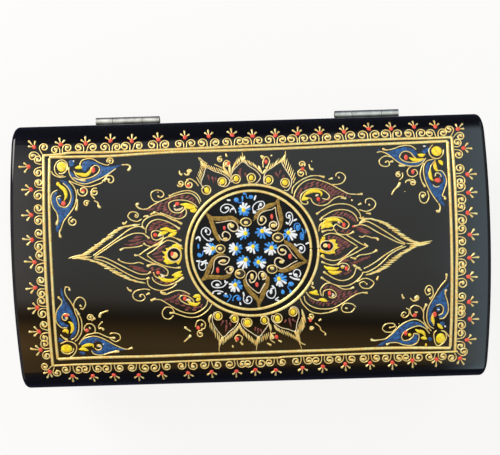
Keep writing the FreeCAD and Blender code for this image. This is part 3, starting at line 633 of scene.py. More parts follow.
BOTTOM_LEFT_CORNER_PX = {
    "gold_line": (
        ((61.8, 300), (61.4, 304), (57.4, 309.7), (55.8, 315.7), (56.6, 322.3), (61.4, 327.5),
         (67.4, 327.9)),
        ((70.2, 291.2), (69.2, 287.9), (65.9, 287.2), (64.7, 290.8), (66.3, 295.8), (70.5, 301.6),
         (73.8, 307.4), (75.5, 313.2), (77.9, 319), (78.9, 326.4), (77.9, 333), (74.6, 338), (71.3, 339.7)),
        ((79.4, 315.4), (81.3, 319.8), (82, 326.4), (81.3, 333), (77.9, 338.9), (75, 341.4)),
        ((77, 310.7), (73.9, 307.4), (74.6, 301.6), (78.8, 297.4), (83.7, 299), (85.7, 304), (83, 309),
         (80, 308.4)),
        ((60.5, 343.8), (66.3, 341.3), (72.1, 342.2), (76.3, 345.5), (76.3, 350.5), (73, 355.5),
         (69.7, 357.8)),
        ((60.8, 350), (63.8, 353), (68.8, 353.9), (73, 351.3), (73.8, 348)),
        ((78.8, 344.7), (82, 339.7), (86.2, 335.5), (91.2, 333.9), (97.8, 333), (104, 335.6), (109, 337.6)),
        ((78.8, 344.7), (82.2, 340), (87.4, 337.4), (95.4, 336.3), (105.3, 339.7), (114.4, 344.7),
         (122.7, 348.4), (128, 349.4)),
        ((109, 337.6), (113, 340.6), (116.6, 341.6), (120.2, 338.9), (119.4, 334.7), (114.4, 333),
         (109.5, 333.9)),
        ((94.6, 333.4), (95.2, 328.2), (92, 324.2), (87, 324.2), (84.2, 328), (85.4, 331)),
        ((102.8, 321.5), (98.9, 325.4), (98.9, 329)),
        ((91.4, 350.6), (93.4, 353.4), (97.4, 355), (103.6, 355)),
    ),
    "gold_drop": (
        ((61.8, 300), (59.6, 298.6), (58, 296.4)), ((75.8, 308.6), (79.4, 315.4)), ((82, 307), (79.6, 305)),
        ((103.6, 354.8), (111.9, 352.3), (119.6, 351.2)), ((109, 337.6), (115.6, 338)),
        ((128, 349.4), (133, 347.6)), ((91.4, 320.8), (95.4, 318)),
        ((108.6, 310.3), (103.6, 312.3), (100.3, 314), (99.6, 318)),
        ((98.9, 329), (101.6, 328), (104, 330.4)), ((60.5, 334.7), (63.8, 338), (68, 340.5)),
        ((89, 327), (90.6, 329)), ((70, 288.6), (68.6, 290.4)),
    ),
    "gold_ring": ((90, 317.7, 3.6, 300, 1.3), (65.6, 318, 4.7, 30, 0.9), (98.8, 346.6, 4.0, 200, 0.8)),
    "blue_patch": (
        ((60.4, 286.4), (62.6, 292), (64.6, 299), (68.6, 305), (73.2, 313.2), (76.6, 321.5), (76.8, 329.6),
         (74.4, 335.8), (69.8, 339.2), (71.8, 333.6), (73.6, 328.4), (72.4, 322), (69.4, 317),
         (65.8, 313.4), (61.8, 316), (61.2, 320.4), (65, 323.4), (69, 326), (65.4, 327.4), (60.2, 325),
         (56.8, 319), (57, 312.4), (60.2, 305.7), (62.2, 299), (60.6, 292.6)),
        ((79, 344.6), (82, 340.6), (87, 338), (93.7, 337.2), (101.2, 338.9), (107.8, 342.2), (116, 347),
         (126.4, 349.7), (117.7, 350.6), (110.3, 352.6), (103.6, 354.2), (97, 354.2), (92.4, 351.8),
         (91.6, 349.6), (95.4, 351), (101, 350), (103, 346), (101, 342.4), (96.4, 341.6), (92.6, 343.6),
         (87.9, 343.4), (82.6, 344.8)),
        ((58.6, 337.4), (61.4, 338.6), (64.2, 341.4), (60.4, 342.2), (58.6, 341)),
        ((78.6, 352), (82, 351.6), (85.6, 353.4), (82, 354.8)),
        ((63.6, 316.6), (66, 318), (66.4, 320.6), (63.6, 320)),
    ),
    "yellow_stroke": (
        ((68.4, 321.6), (71.8, 324), (72.8, 329), (70.6, 333.6)),
        ((62.4, 331.6), (66.4, 330.6), (68, 333.8)),
        ((81.4, 346.6), (87.9, 344.9), (92.4, 344.9), (93.6, 347.6)),
        ((78.8, 349.4), (83.7, 349), (88.6, 350.8)),
    ),
    "yellow_disc": ((66.6, 348.6, 6.0, 4.6),),
    "red_spot": ((66.4, 315.4, 2.4, 2.2), (87, 330.4, 2.1, 2.0)),
    "maroon_stroke": (((96, 337.4), (95.4, 342.6)),),
    "white_spot": ((100, 346.2, 1.4, 1.2), (103.4, 344, 1.0, 0.6)),
}

LEFT_ARROW_PX = {
    "gold_line": (
        ((93, 255.8), (101, 250), (110, 243.7), (120, 236.3), (128, 230.3), (134, 227.4), (140, 226.6),
         (145, 229.3)),
        ((95, 256.4), (106, 249), (116, 242), (126, 236.5), (134, 233.5), (142, 233.4), (146, 235.3)),
        ((94, 257.3), (102, 257), (110, 260), (120, 265), (130, 270), (140, 274), (148, 274)),
        ((94, 258.6), (104, 261.3), (114, 266), (124, 272), (134, 277), (140, 279), (146, 279.2)),
        ((139, 255.2), (146, 250), (153, 246), (160, 242), (164, 238.5), (170, 236.6), (176, 238.2)),
        ((147, 254.5), (154, 250), (160, 245.2), (165, 241.5), (169, 240.4), (175, 242)),
        ((139, 256), (146, 260), (153, 263), (160, 265.6), (165, 268), (168, 271.4), (167, 275.4),
         (163.4, 275.2)),
        ((147, 255.5), (154, 261), (160, 264), (165, 266), (170, 267.2), (176, 268)),
        ((142, 227), (143, 222), (147, 218), (154, 215.3), (160, 214.8), (166, 216.4), (174, 220)),
        ((146, 233.5), (146, 229), (148.5, 224), (153, 220.6), (159, 219.5), (167, 221.5), (174, 225)),
        ((156, 212.4), (163, 215), (170, 218.6), (176, 221.4)),
        ((146, 245.2), (151, 246.6), (156, 245.5), (161, 243), (163, 238.6), (163, 235)),
        ((152, 277), (154, 281), (160, 284.5), (167, 285.5), (175, 283)),
        ((147.6, 279.5), (148, 284), (151, 287.6), (157, 290), (163, 290.4), (171, 288), (177, 283.6)),
        ((124, 248), (132, 247.5), (139, 246.5), (143, 244.8)),
        ((120, 261), (126, 263), (133, 263.5), (139, 262.5), (144, 264.2)),
        ((151.2, 235), (152, 232), (156, 230.6), (161, 231.6)),
        ((151.2, 235), (153, 239), (157.6, 240), (162.6, 237.4)),
        ((153.4, 272), (155.4, 276.4), (161, 279), (168, 280.4)),
    ),
    "gold_drop": (
        ((145.6, 235.2), (149.6, 238.6)), ((174, 219.4), (182.4, 224.2)), ((174, 225), (180.2, 229.2)),
        ((176, 238.2), (181.4, 240.8)), ((175, 242), (182, 247)), ((176, 268), (181, 267.4)),
        ((175, 283), (180, 280), (184, 277)), ((146, 245.2), (143.4, 243)), ((124, 248), (119.6, 250.4)),
        ((120, 261), (118, 258.6)), ((156, 264.4), (151, 264.6), (146.6, 266.6)),
        ((139, 255.4), (134, 255.2)), ((146, 279), (150, 277.8)), ((148, 274), (151, 271.6)),
        ((145, 229.3), (142, 226.4)), ((143, 217), (146, 216), (149, 216.5)), ((150, 214.6), (156, 211.8)),
        ((127, 221), (125, 223.5), (122, 223)), ((127, 287), (129, 290), (132, 291)),
        ((156, 298), (150.4, 301)), ((146, 295), (150, 293)),
    ),
    "maroon_stroke": (
        ((124, 244), (130, 245), (138, 243.4), (146, 240)), ((133, 238.6), (138, 237), (143, 236.6)),
        ((128, 241.4), (136, 240.4), (142, 239)), ((129, 266), (136, 267.4), (144, 268.6)),
        ((133, 268.6), (142, 270.6), (150, 272)), ((146, 240.6), (150, 243), (155, 243.2)),
        ((152.4, 255), (158, 252.8), (164, 250)), ((153.6, 257), (159, 257), (163.6, 255.6)),
        ((156, 259.4), (161, 259.8), (165, 258.4)), ((157, 250.6), (161, 248), (166, 245.2)),
    ),
    "maroon_comb": (
        (12, ((147.4, 232), (148.6, 226), (153, 222), (160, 221), (168, 223.6), (175, 228), (181, 233.4),
              (176, 231.4), (169, 227.6), (162, 227.6), (156, 229.6), (151, 232))),
        (170, ((153, 279.4), (160, 280.4), (170, 282), (178, 280), (174, 282.6), (167, 284.6), (160, 283.4),
               (155, 281.4))),
        (10, ((147, 238), (151, 239.6), (157, 241.4), (162, 240), (158, 243.8), (152, 244.6), (147, 242))),
        (170, ((150.6, 267.4), (156, 268), (163, 268.8), (166, 271.6), (160, 270.4), (155, 270.4),
               (152, 273.6), (149.6, 271))),
    ),
    "yellow_stroke": (
        ((160, 229.6), (166, 229), (172, 231), (177, 230.4)), ((157.6, 236.4), (162, 233.4), (168, 232)),
        ((168, 236), (173, 234.4), (177, 232)), ((158.6, 276), (162, 279.4), (170, 280.6), (177.6, 278.4)),
        ((172, 275.4), (177, 274), (182, 271)), ((174, 277.6), (179, 275.6), (183, 274.4)),
        ((172, 245.6), (177, 245.8), (183, 249)),
    ),
    "yellow_burst": (
        (((165.2, 248.2), (168, 247.8), (170.5, 246.6), (174, 245.2), (177.5, 246.6), (180.6, 249),
          (181.6, 252), (182, 256), (181.2, 260), (178.6, 264.6), (176, 262.6), (173.4, 263.4),
          (169.6, 264.2), (166.6, 264.2), (164.8, 262.2), (163.2, 261.2), (164.6, 259.6), (164.4, 258),
          (161.8, 257.2), (164.2, 256), (164.6, 254.6), (162, 251.6), (165.4, 251.4), (166.4, 250)),
         (174, 254.6, 6.8, 6.7), (174.3, 255.2, 4.6, 4.2)),
    ),
    "red_spot": ((155.2, 235, 2.1, 2.1), (158.2, 272.6, 2.2, 2.0), (172.2, 253.9, 1.9, 2.7)),
    "cream_stroke": (((158, 236), (162.4, 234.4)), ((160, 274), (164, 276.6), (160.6, 277))),
}
LEFT_ROPES_PX = (
    (((84, 255), (93, 249), (100, 243.6), (108, 238), (114, 232.6), (120, 228.4), (127, 226.2), (136, 225)),
     18, 10.4, -14, 1.9),
    (((82, 258.6), (92, 260.6), (100, 263), (107, 267), (114, 271), (122, 275.4), (130, 279.6),
      (141, 282.4)), 16, 10.8, 8, 1.9),
)
LEFT_TIP_PX = (
    ((68.4, 258.6), (74, 256.8), (81, 255.4), (90, 254)), ((72, 258.8), (80, 257.8), (92, 256.6)),
)

LEFT_PAISLEYS_PX = {
    "gold_line": (
        ((169, 196), (175, 193.4), (183, 191), (190, 190.8), (196, 193.4), (199.4, 197.4), (201, 202)),
        ((143, 209.4), (148, 208.4), (153, 205), (160, 201.4), (170, 197.4), (179, 194.4), (188, 193),
         (194, 195), (198, 199.6), (199.8, 204)),
        ((168.4, 205), (169.6, 202.6), (173, 200.8), (180, 200), (188, 201), (194, 204), (197.4, 207.6)),
        ((168.4, 205), (170, 209.4), (174, 212.4), (180, 212.6), (184, 209.6), (184.4, 207)),
        ((185, 208), (186.6, 212), (185, 216), (180, 218.6), (174, 218), (168, 215.5), (160, 212.6)),
        ((151, 197), (154, 201), (159, 201.6), (165, 199.2)),
        ((151, 197), (151.4, 192.6), (156.6, 190), (162, 191.4), (163.8, 195), (161, 197.4), (158.4, 196)),
        ((127.6, 216.4), (131, 219.8), (137, 221.4), (142, 219)),
        ((127.6, 216.4), (130, 212.6), (135, 212), (138.4, 214.6), (137, 217.4), (134.4, 216.4)),
        ((150.2, 290), (144, 289), (136, 291), (132.7, 295), (135, 299.5), (141, 301), (145, 298),
         (143, 294.5), (139.4, 295.5)),
        ((161, 293.6), (166, 294.4), (172, 292), (178, 290.4), (184, 291.4), (190, 294.4)),
        ((155, 299.4), (161, 300), (168, 304), (176, 309), (184, 312.4), (193, 313.4), (200, 311),
         (206, 306), (208, 300)),
        ((174, 313), (180, 315), (187, 317), (194, 317.4), (201, 315.4), (208, 310), (212, 304)),
        ((179, 298), (182, 295.4), (188, 296.4), (193, 300), (193.4, 303.6), (188, 304.4), (182, 301.4),
         (179, 298)),
        ((174.6, 313), (172, 308.2), (166, 307.4), (162.4, 312), (164, 317.6), (169.6, 319),
         (173.6, 315.4)),
        ((195.4, 327), (197, 321.6), (201.4, 320), (205.4, 323.4), (204.6, 328), (201, 329.6)),
        ((186, 180), (190, 178.8), (195, 181.6), (198.6, 186)),
    ),
    "gold_drop": (
        ((143, 209.4), (138.6, 208), (136.6, 205), (139, 203)), ((172, 194.8), (168.6, 196.2)),
        ((159.6, 197.4), (157.6, 195.6)), ((137, 216), (135, 214.4)), ((166.4, 197.8), (165.6, 198.4)),
        ((155, 299.4), (150.4, 300.4)), ((166, 293.4), (160, 292)), ((174.6, 313), (169.4, 313)),
        ((191, 331.4), (187, 329), (184.4, 326.6)), ((184, 342), (188.6, 337.6), (191.4, 335)),
        ((141.4, 297), (139.2, 295.6)), ((179.5, 170.6), (180, 174), (182.6, 174.4)),
        ((184, 173), (186.4, 175), (189.6, 173.4)), ((201, 326.6), (202.6, 323.4)),
        ((158.6, 192.6), (157.4, 191.8)),
    ),
    "gold_ring": (
        (189.4, 184.4, 4.4, 100, 1.2), (180.4, 183.4, 3.4, 200, 1.2), (189.2, 171.6, 2.4, 0, 1.1),
        (200.6, 334, 3.8, 60, 1.1),
    ),
    "maroon_comb": (
        (165, ((146, 210), (154, 206), (162, 202.4), (171, 198.6), (180, 196), (188, 195), (194, 198),
               (198, 204), (194, 202.4), (187, 199.6), (180, 198.6), (172, 199.6), (167.4, 203),
               (167.6, 209), (172, 213.4), (178, 214.4), (183, 212.6), (184.6, 214.6), (180, 217.4),
               (174, 216.8), (168, 214), (160, 210.6), (152, 210.6))),
        (20, ((163, 299), (169, 297.4), (176, 294), (183, 292.4), (189, 294), (192, 298), (188, 295),
              (182, 294), (178, 298), (181, 302.6), (188, 305.8), (196, 307), (203, 303.6), (202, 308),
              (196, 311), (188, 310.4), (180, 307), (172, 302))),
    ),
    "maroon_stroke": (((145, 209.6), (149, 209.6), (154, 208)),),
    "yellow_stroke": (
        ((180.4, 204.4), (188, 205), (195.4, 206.6)), ((184, 207), (190, 207.4), (196, 208.4)),
        ((190, 210.6), (194, 210.8), (197, 209)), ((187, 300), (191.4, 303.6), (196, 304.6), (200.4, 302)),
        ((193, 297), (198.6, 295.8), (200, 298.4)), ((196, 300.6), (201, 298.4)),
    ),
    "cream_stroke": (
        ((174, 208), (176, 210), (181, 209), (183, 206.6)), ((173.6, 207), (176, 204.6)),
        ((185.4, 300.6), (189, 299.8), (191, 302.4)),
    ),
    "red_spot": (
        (177.2, 203.8, 2.3, 2.1), (184.9, 298.6, 1.9, 2.3), (188.4, 185.4, 1.9, 1.9),
        (198.2, 327.8, 1.9, 2.2),
    ),
}

RIGHT_PAISLEYS_PX = {
    "gold_line": (
        ((292, 193.6), (292.9, 187.7), (297.3, 182.8), (303.6, 178.8), (310.7, 176), (318, 175.6)),
        ((293.8, 197.5), (295.5, 191.3), (300, 185), (306.3, 180.5), (314.3, 179.2), (323.2, 181.4),
         (332.1, 185), (340.2, 189.5), (348.2, 193.5), (357, 194.4)),
        ((300, 199.3), (301.8, 194), (307.1, 190), (314.3, 188.4), (321.4, 189.5), (326.8, 192.6),
         (329.5, 196.6), (326.8, 199.3), (322.3, 198.4)),
        ((307, 197.6), (310.7, 198.6), (312.5, 202), (316, 204.6), (321.4, 205.5), (327.7, 203.8),
         (333, 199.3), (338.4, 196.6), (344, 196.6)),
        ((300, 199.3), (301.8, 202.9), (305.4, 204.2), (308, 202.9), (307.1, 201)),
        ((335.7, 176.6), (336.4, 173.8), (339.6, 172.3), (343.8, 174.3), (345.5, 177.9), (342.9, 182.3),
         (337.5, 184.3), (332.4, 184.4)),
        ((365.4, 203.6), (366.1, 199.6), (370.5, 198.4), (375, 201.5), (375.4, 205.5), (372.3, 209.1),
         (366, 211.3), (359, 209.6)),
        ((320.4, 211.2), (330.4, 205.7), (339.3, 203.8), (348.2, 204.6), (355.4, 208.2), (359.8, 213.6),
         (361, 219.4)),
        ((323, 216.6), (332.1, 211.3), (341, 209.6), (349.1, 210.9), (355.4, 215.4), (358, 221.4)),
        ((322.6, 219.4), (332, 217.1), (340.2, 217.6), (346.4, 220.7), (349.1, 224.3), (347.3, 227.7),
         (343.8, 228.3), (339.3, 226), (336.2, 223.8)),
        ((318.8, 231.4), (319.6, 226), (322.3, 222.4)),
        ((327, 230.2), (333, 229.8), (333.8, 226.4), (336, 224)),
        ((323.2, 235.9), (328.6, 233.6), (334.8, 233.7), (341, 235.9), (348.2, 240.4), (357, 245.9)),
        ((333.9, 228.6), (337.5, 233.2), (342.9, 234.6), (349.1, 234.1)),
        ((346.4, 235), (352.7, 238.6), (359.8, 243), (366, 245.9)),
        ((325.9, 259.1), (333, 260.6), (340.2, 259.1), (346.4, 255.5), (352.7, 250.2), (358, 246.6)),
        ((325.9, 263.6), (332, 265), (337.5, 264), (342, 260), (348.2, 256.4), (355.4, 252.9),
         (361.6, 249.3), (367, 246.6)),
        ((358.9, 236.2), (362, 237.2), (365.2, 235.9), (371.4, 237.6)),
        ((356.3, 257.5), (359.8, 255.1), (366, 254.3), (372.3, 252.9)),
        ((337.5, 265.4), (341, 263.4), (346.4, 263.8), (349.3, 267.1), (347.6, 270.7)),
        ((328.6, 275.2), (334.8, 278.8), (342, 280.6), (349.1, 278.8), (353.6, 275.2), (356.3, 268)),
        ((325.9, 280.5), (332, 283.7), (339.3, 285.9), (347.3, 285.7), (354.5, 282.3), (359.8, 277.9),
         (363.4, 272.5)),
        ((321.4, 296), (320.4, 290), (324, 285), (329, 283), (336, 285.4), (343, 289), (350, 289)),
        ((323, 296.4), (324, 291), (330, 289.4), (335, 292), (336, 296), (332.4, 298), (328.6, 296.6)),
        ((306, 292), (310, 297), (316, 300), (322, 300.4)),
        ((304, 296), (306, 302), (313, 307), (322, 309), (333, 308), (343, 303), (350, 298), (357, 294),
         (362, 292.6)),
        ((300, 298), (303, 304), (310, 311), (319, 313.5), (329, 312.5)),
        ((356, 307), (352, 304), (345, 303.5), (341.5, 308), (344, 312), (351, 312), (355, 308)),
        ((357, 282), (363, 278.6), (369, 279), (374, 283), (370, 288), (363, 288), (359.6, 284),
         (363, 281.6), (366, 283)),
        ((306.6, 175.4), (305.4, 171), (302.4, 169.4)), ((315, 323), (320, 327), (321, 330), (326, 333.6)),
    ),
    "gold_drop": (
        ((318, 175.6), (325, 177.2)), ((357, 194.4), (363, 193.8)), ((320.4, 211.2), (316, 214.4)),
        ((323, 216.6), (319.8, 220.8)), ((327, 230.2), (321.4, 232)), ((349.1, 234.1), (354.3, 231.4)),
        ((340.6, 198), (346.6, 198.4)), ((351.3, 201), (352.6, 199.4)), ((328.6, 179.4), (333, 177.9)),
        ((340, 178.4), (338, 177)), ((358, 204.8), (361.6, 203.2)), ((370.4, 205.6), (368.4, 204)),
        ((366, 213.1), (371.2, 213.8)), ((325.9, 259.1), (320.6, 255.6)), ((325.9, 263.6), (321.2, 261.6)),
        ((364.4, 243), (368, 247)), ((371.4, 237.6), (377, 238.4), (378.4, 240.8)),
        ((350, 257.3), (356.4, 259)), ((372.3, 252.9), (377.6, 249.7)), ((328.6, 275.2), (323.2, 271.6)),
        ((325.9, 280.5), (320.6, 277)), ((350, 289), (354.4, 287)), ((362, 292.6), (368, 293)),
        ((329, 312.5), (338, 309)), ((348, 308.6), (345, 308)), ((367.6, 284.6), (366, 283.4)),
        ((378.4, 276), (376.6, 280.4)), ((352.7, 264.5), (356.4, 267.1), (360.7, 268.9)),
        ((356.4, 226), (353.4, 225.8)), ((326, 333.6), (325, 335.4)), ((318.6, 321), (321.4, 319)),
        ((311.6, 160.6), (311.8, 162)), ((309, 164), (310.4, 168.6), (313.8, 169.4)),
        ((313, 281.6), (312.4, 285)), ((311, 286), (314.6, 288.4)),
    ),
    "gold_ring": (
        (301.4, 173.2, 3.8, 90, 1.1), (301.8, 164.2, 3.4, 320, 1.1), (311, 316.2, 3.2, 200, 1.2),
        (311.6, 328.6, 2.2, 0, 1.0),
    ),
    "maroon_comb": (
        (160, ((295.4, 198), (299.4, 189.4), (306.6, 183.2), (315, 181.4), (325, 183.6), (334, 187.6),
               (342, 192), (349, 195.4), (354, 199.4), (347, 196), (339.3, 195.4), (333, 197.6),
               (328.4, 202), (321.6, 204), (316, 203), (322.6, 200.6), (330.6, 198.6), (328.6, 192.8),
               (321.6, 187.6), (314, 186.6), (306, 188.4), (300.6, 193.2), (298.6, 199))),
        (150, ((326, 217), (333, 213), (341, 211.4), (348.6, 212.8), (354.6, 217), (357, 222.6), (352, 221),
               (346.6, 218), (340, 215.8), (332, 215.6))),
        (160, ((335.4, 229.6), (341, 230.2), (348, 229), (352.6, 230.4), (347, 233), (340, 232.6))),
        (155, ((326, 241), (328, 236.6), (335, 235.6), (342, 238.6), (350, 243), (352, 246), (345, 249.6),
               (339, 253.6), (334, 256.6), (337, 250), (338, 244), (333, 238.6))),
        (30, ((349.4, 262.4), (356, 260), (364, 256.8), (374, 255.4), (366, 259.6), (358, 263.6),
              (352, 266))),
        (150, ((322, 293), (322.4, 289), (326, 285.4), (332, 285.4), (339, 289), (348, 291.6), (360, 290.4),
               (352, 295.4), (344, 300), (334, 304.8), (322, 306), (312, 303), (306.6, 297), (313, 300.6),
               (322, 302.6), (331, 300.6), (338, 296), (335, 290), (329, 287.8), (324, 289.4))),
        (20, ((338, 271), (345, 272.6), (350, 270), (353, 268), (351, 272.6), (346, 275.4), (340, 274.6))),
    ),
    "maroon_stroke": (
        ((355, 226.4), (361, 228.8), (368, 231.4), (371.6, 233.2)),
        ((356.6, 229), (363, 231.6), (369, 234)), ((359, 223.6), (363, 226.4)),
        ((342, 257.6), (347, 254.6)), ((340.6, 262), (346, 260.4), (350, 260.8)),
    ),
    "yellow_stroke": (
        ((302.7, 198), (305.4, 194.2), (310.7, 191.4), (317, 190.9), (321.4, 193), (321, 196.4)),
        ((301.6, 200.4), (304.4, 198.6), (308.6, 199)),
        ((320.5, 226.6), (325.9, 221.4), (332, 219.4), (339, 220), (342.9, 222.8)),
        ((321, 229.2), (326, 225), (332, 222.6)), ((326, 227.6), (330, 225.4), (333.6, 226.4)),
        ((324, 265.8), (327.7, 268.2), (334.8, 269), (339.3, 267.6)),
        ((328, 271), (334, 273), (342, 271.4)), ((344.4, 267), (340.6, 266.6)),
        ((319, 299.2), (324, 300.2), (327.4, 301.4)), ((309, 292.4), (314.6, 293), (319, 295)),
        ((314, 290.6), (317.6, 292.6)), ((325, 236.8), (322, 240)), ((320.6, 255.4), (324.6, 256.8)),
    ),
    "yellow_burst": (
        (((320.7, 239), (323.6, 239.4), (326.8, 240.2), (330.4, 239.4), (334, 239.2), (335.9, 239.7),
          (335.6, 242.8), (338, 244.2), (337, 246.1), (339.4, 247.5), (335.9, 249.4), (334.6, 251),
          (335.6, 253.2), (332.5, 253.7), (328.7, 254.4), (324.5, 253.2), (319.6, 252), (320.4, 248),
          (320, 244)), (326.9, 246, 6.6, 5.2), (325.4, 245.5, 3.1, 2.7)),
    ),
    "red_spot": (
        (318.4, 199.2, 1.9, 2.2), (343.9, 224.8, 1.8, 2.3), (329.1, 246.1, 1.7, 2.8),
        (346.5, 268.5, 1.8, 2.4), (329.6, 293.3, 1.8, 2.6), (302.8, 168.8, 1.7, 1.9),
        (310.5, 320.2, 1.7, 2.0), (353.8, 226.4, 1.6, 1.2),
    ),
    "cream_stroke": (
        ((315.4, 196), (318.6, 194.6)), ((340.4, 223.4), (337.6, 221.4)), ((340.6, 266.6), (345, 266)),
        ((332, 293.4), (333.6, 295.4), (331.4, 296.8)),
    ),
}

RIGHT_ARROW_PX = {
    "gold_line": (
        ((359, 224), (366, 221.4), (371.7, 223.2), (380, 228), (390, 234.4), (398, 239.6), (405.4, 243.4)),
        ((355.4, 225.6), (361.4, 224.6), (368, 226.6), (378, 232.4), (388, 237.6), (397, 242),
         (405, 244.4)),
        ((363.6, 268.7), (370, 265.4), (377.4, 260.7), (385, 255), (394, 249.4), (403, 245.4)),
        ((362, 272.4), (368, 271.6), (377.4, 266.4), (384, 260.6), (390, 254.6), (398, 249.6),
         (406, 246.2)),
        ((361, 219.4), (362.6, 217.4), (364, 217)),
    ),
    "gold_drop": (((359, 224), (362, 221), (366, 219)), ((362, 270.6), (358, 268), (353.6, 265))),
}
RIGHT_ROPES_PX = (
    (((363, 218.6), (371.7, 219), (383, 222.4), (390, 226.4), (396, 230.6), (403, 236), (410, 240.2),
      (418, 243)), 18, 9.8, 8, 1.9),
    (((416, 245.4), (407, 250.4), (400, 254.8), (393, 260), (386, 266), (379, 270.6), (370, 274)), 17, 9,
     -8, 1.9),
)
RIGHT_TIP_PX = (
    ((406, 243.4), (415, 243.8), (424, 242.4), (432.5, 240.6)), ((410, 245.6), (420, 245), (431, 242.6)),
)

# The six pointed petals outside the medallion: spike, barbs (feet, turns, reaches, count), bands (a rope),
# outline of the pale line, curls (a ring), eyes (a spot) and veins
PETALS_PX = (
    dict(
        spike=((198.2, 157.4), (200.4, 161), (203, 165)),
        barbs=((((205.2, 168), (203, 176), (200.6, 184.4)), (118, 118), (8, 8.5), 8),),
        bands=((((203, 163.8), (209, 167), (216, 169.6), (223, 171.8), (229.4, 176)), 12, 6.6, 56, 1.3),),
        outline=((206.4, 189.8), (202.6, 186.6), (201, 182.6), (203.6, 175.4), (206.4, 168), (214, 171.2),
                 (222, 174), (228, 178), (229.6, 182), (226.6, 186.2), (221.8, 186.2), (219, 182)),
        curls=((206.4, 189.8, 4.6, 120, 1.0), (222, 181.8, 4.4, 200, 1.0)),
        eyes=((206.8, 190.2, 2.6, 3.2), (222.2, 181.6, 2.8, 3.0)),
        veins=(
            ((208.2, 174.6), (209.4, 180.6)), ((212.2, 176.4), (213.6, 183)), ((216, 177), (215.4, 181.4)),
        ),
    ),
    dict(
        spike=((242.1, 152.2), (242.8, 157), (243, 160)),
        barbs=(
            (((240.8, 162.8), (236.6, 165.6), (233.6, 168.6), (231.6, 173)), (76, 80), (8, 7), 7),
            (((244.6, 162), (250, 165.6), (256, 168.6), (261.6, 173.6)), (122, 120), (7.4, 6.2), 10),
        ),
        bands=(),
        outline=((236, 178.6), (231.4, 181.8), (231, 177.2), (232.6, 171.6), (237, 166.4), (243, 161.8),
                 (249, 166.2), (256, 170.8), (260.4, 176.6), (258, 181.4), (253.4, 184.2), (248, 182.4)),
        curls=((236, 178.8, 4.4, 220, 1.0), (251.2, 177.6, 4.3, 210, 1.1)),
        eyes=((236.2, 178.6, 2.6, 3.0), (251.2, 177.8, 2.4, 2.8)),
        veins=(
            ((240.6, 168), (240.2, 173.6)), ((238.4, 171), (241.6, 177)), ((245.6, 172.4), (245.2, 176.6)),
        ),
    ),
    dict(
        spike=((285.6, 150.8), (285, 155), (284, 160)),
        barbs=(
            (((279, 163.6), (274, 167), (269.6, 170), (266.6, 172.2)), (54, 70), (10.5, 7), 7),
            (((283.6, 166.4), (287.2, 172.6), (290.4, 178), (292.6, 184)), (77, 70), (10.5, 8.6), 8),
        ),
        bands=(),
        outline=((268.5, 180), (264.6, 183.6), (263.8, 178), (266, 172), (273, 167), (280.4, 162),
                 (284, 167), (288, 173), (291.4, 179), (291, 185.4), (287.6, 190.4), (283.8, 190)),
        curls=((268.6, 179.8, 4.6, 200, 1.0), (285, 182.8, 4.5, 240, 1.1)),
        eyes=((268.5, 179.8, 2.8, 3.0), (285, 182.6, 2.9, 3.1)),
        veins=(
            ((281.4, 169.6), (278.6, 175.6)), ((275.4, 172), (278.8, 178)), ((284.4, 174.6), (281.4, 180)),
        ),
    ),
    dict(
        spike=((219.2, 351.6), (219.4, 347), (220, 342)),
        barbs=((((209.6, 320), (213.6, 325.6), (217, 331), (221.4, 336.4)), (-86, -96), (7.6, 9), 8),),
        bands=((((238.4, 327.4), (234, 332.4), (228.6, 337), (223.4, 341.4)), 10, 7.4, 101, 1.5),),
        outline=((218, 316), (214.4, 312.8), (212.4, 318.4), (213.4, 324), (218, 331), (223.6, 336.8),
                 (229, 332), (235, 327), (238.2, 321), (237.4, 316.4), (232.6, 315), (229.4, 318.4)),
        curls=((218, 316, 4.2, 140, -1.0), (234.4, 318.6, 3.8, 200, 1.0)),
        eyes=((218, 316, 2.6, 3.4), (234.5, 318.8, 2.2, 2.8)),
        veins=(
            ((223.6, 320), (220.8, 326)), ((226.4, 320), (227, 325)), ((226.8, 325), (225.6, 332)),
            ((229.8, 322.4), (231, 326.6)),
        ),
    ),
    dict(
        spike=((256.5, 350.4), (256.8, 346), (257.4, 341)),
        barbs=((((270.6, 330.4), (267, 332.6), (263, 334.8), (259, 338)), (-98, -103), (8.4, 7), 7),),
        bands=((((241, 329), (245.4, 334), (250, 338.4), (255, 342.6)), 10, 7.4, 81, 1.5),),
        outline=((247.6, 322.6), (243, 318.6), (241.8, 323), (245, 328), (252, 333), (259, 336.6),
                 (264, 331), (268, 325), (268.6, 319), (265, 316), (260.6, 317)),
        curls=((247.6, 322.6, 4.4, 150, -1.0), (264.4, 320.2, 4.0, 200, 1.0)),
        eyes=((247.6, 322.8, 3.3, 3.8), (264.4, 320.4, 2.2, 3.0)),
        veins=(((255.8, 326.8), (254.8, 331)), ((258.2, 328), (257.8, 334)), ((260.4, 329), (262, 333))),
    ),
    dict(
        spike=((301.6, 349), (300.4, 345), (298.6, 339)),
        barbs=((((302.4, 317), (299.6, 321), (297.6, 327), (297, 332)), (-80, -76), (11.5, 8), 7),),
        bands=((((275.6, 328), (282, 331.6), (289.6, 334.6), (297.2, 338.8)), 10, 7.0, 62, 1.4),),
        outline=((277.6, 318.6), (272.2, 315.8), (272.6, 320.8), (280, 327), (288, 329.2), (295.2, 331),
                 (297, 323), (299, 316), (298, 309.4), (294, 306.6), (290, 308.2)),
        curls=((277.6, 318.4, 4.6, 120, -1.0), (293, 312, 4.2, 200, 1.1)),
        eyes=((277.6, 318.6, 2.8, 3.6), (293, 312, 2.8, 3.2)),
        veins=(((289, 318), (291.2, 327)), ((286.4, 319.6), (284.4, 323)), ((292, 319), (296, 322))),
    ),
)

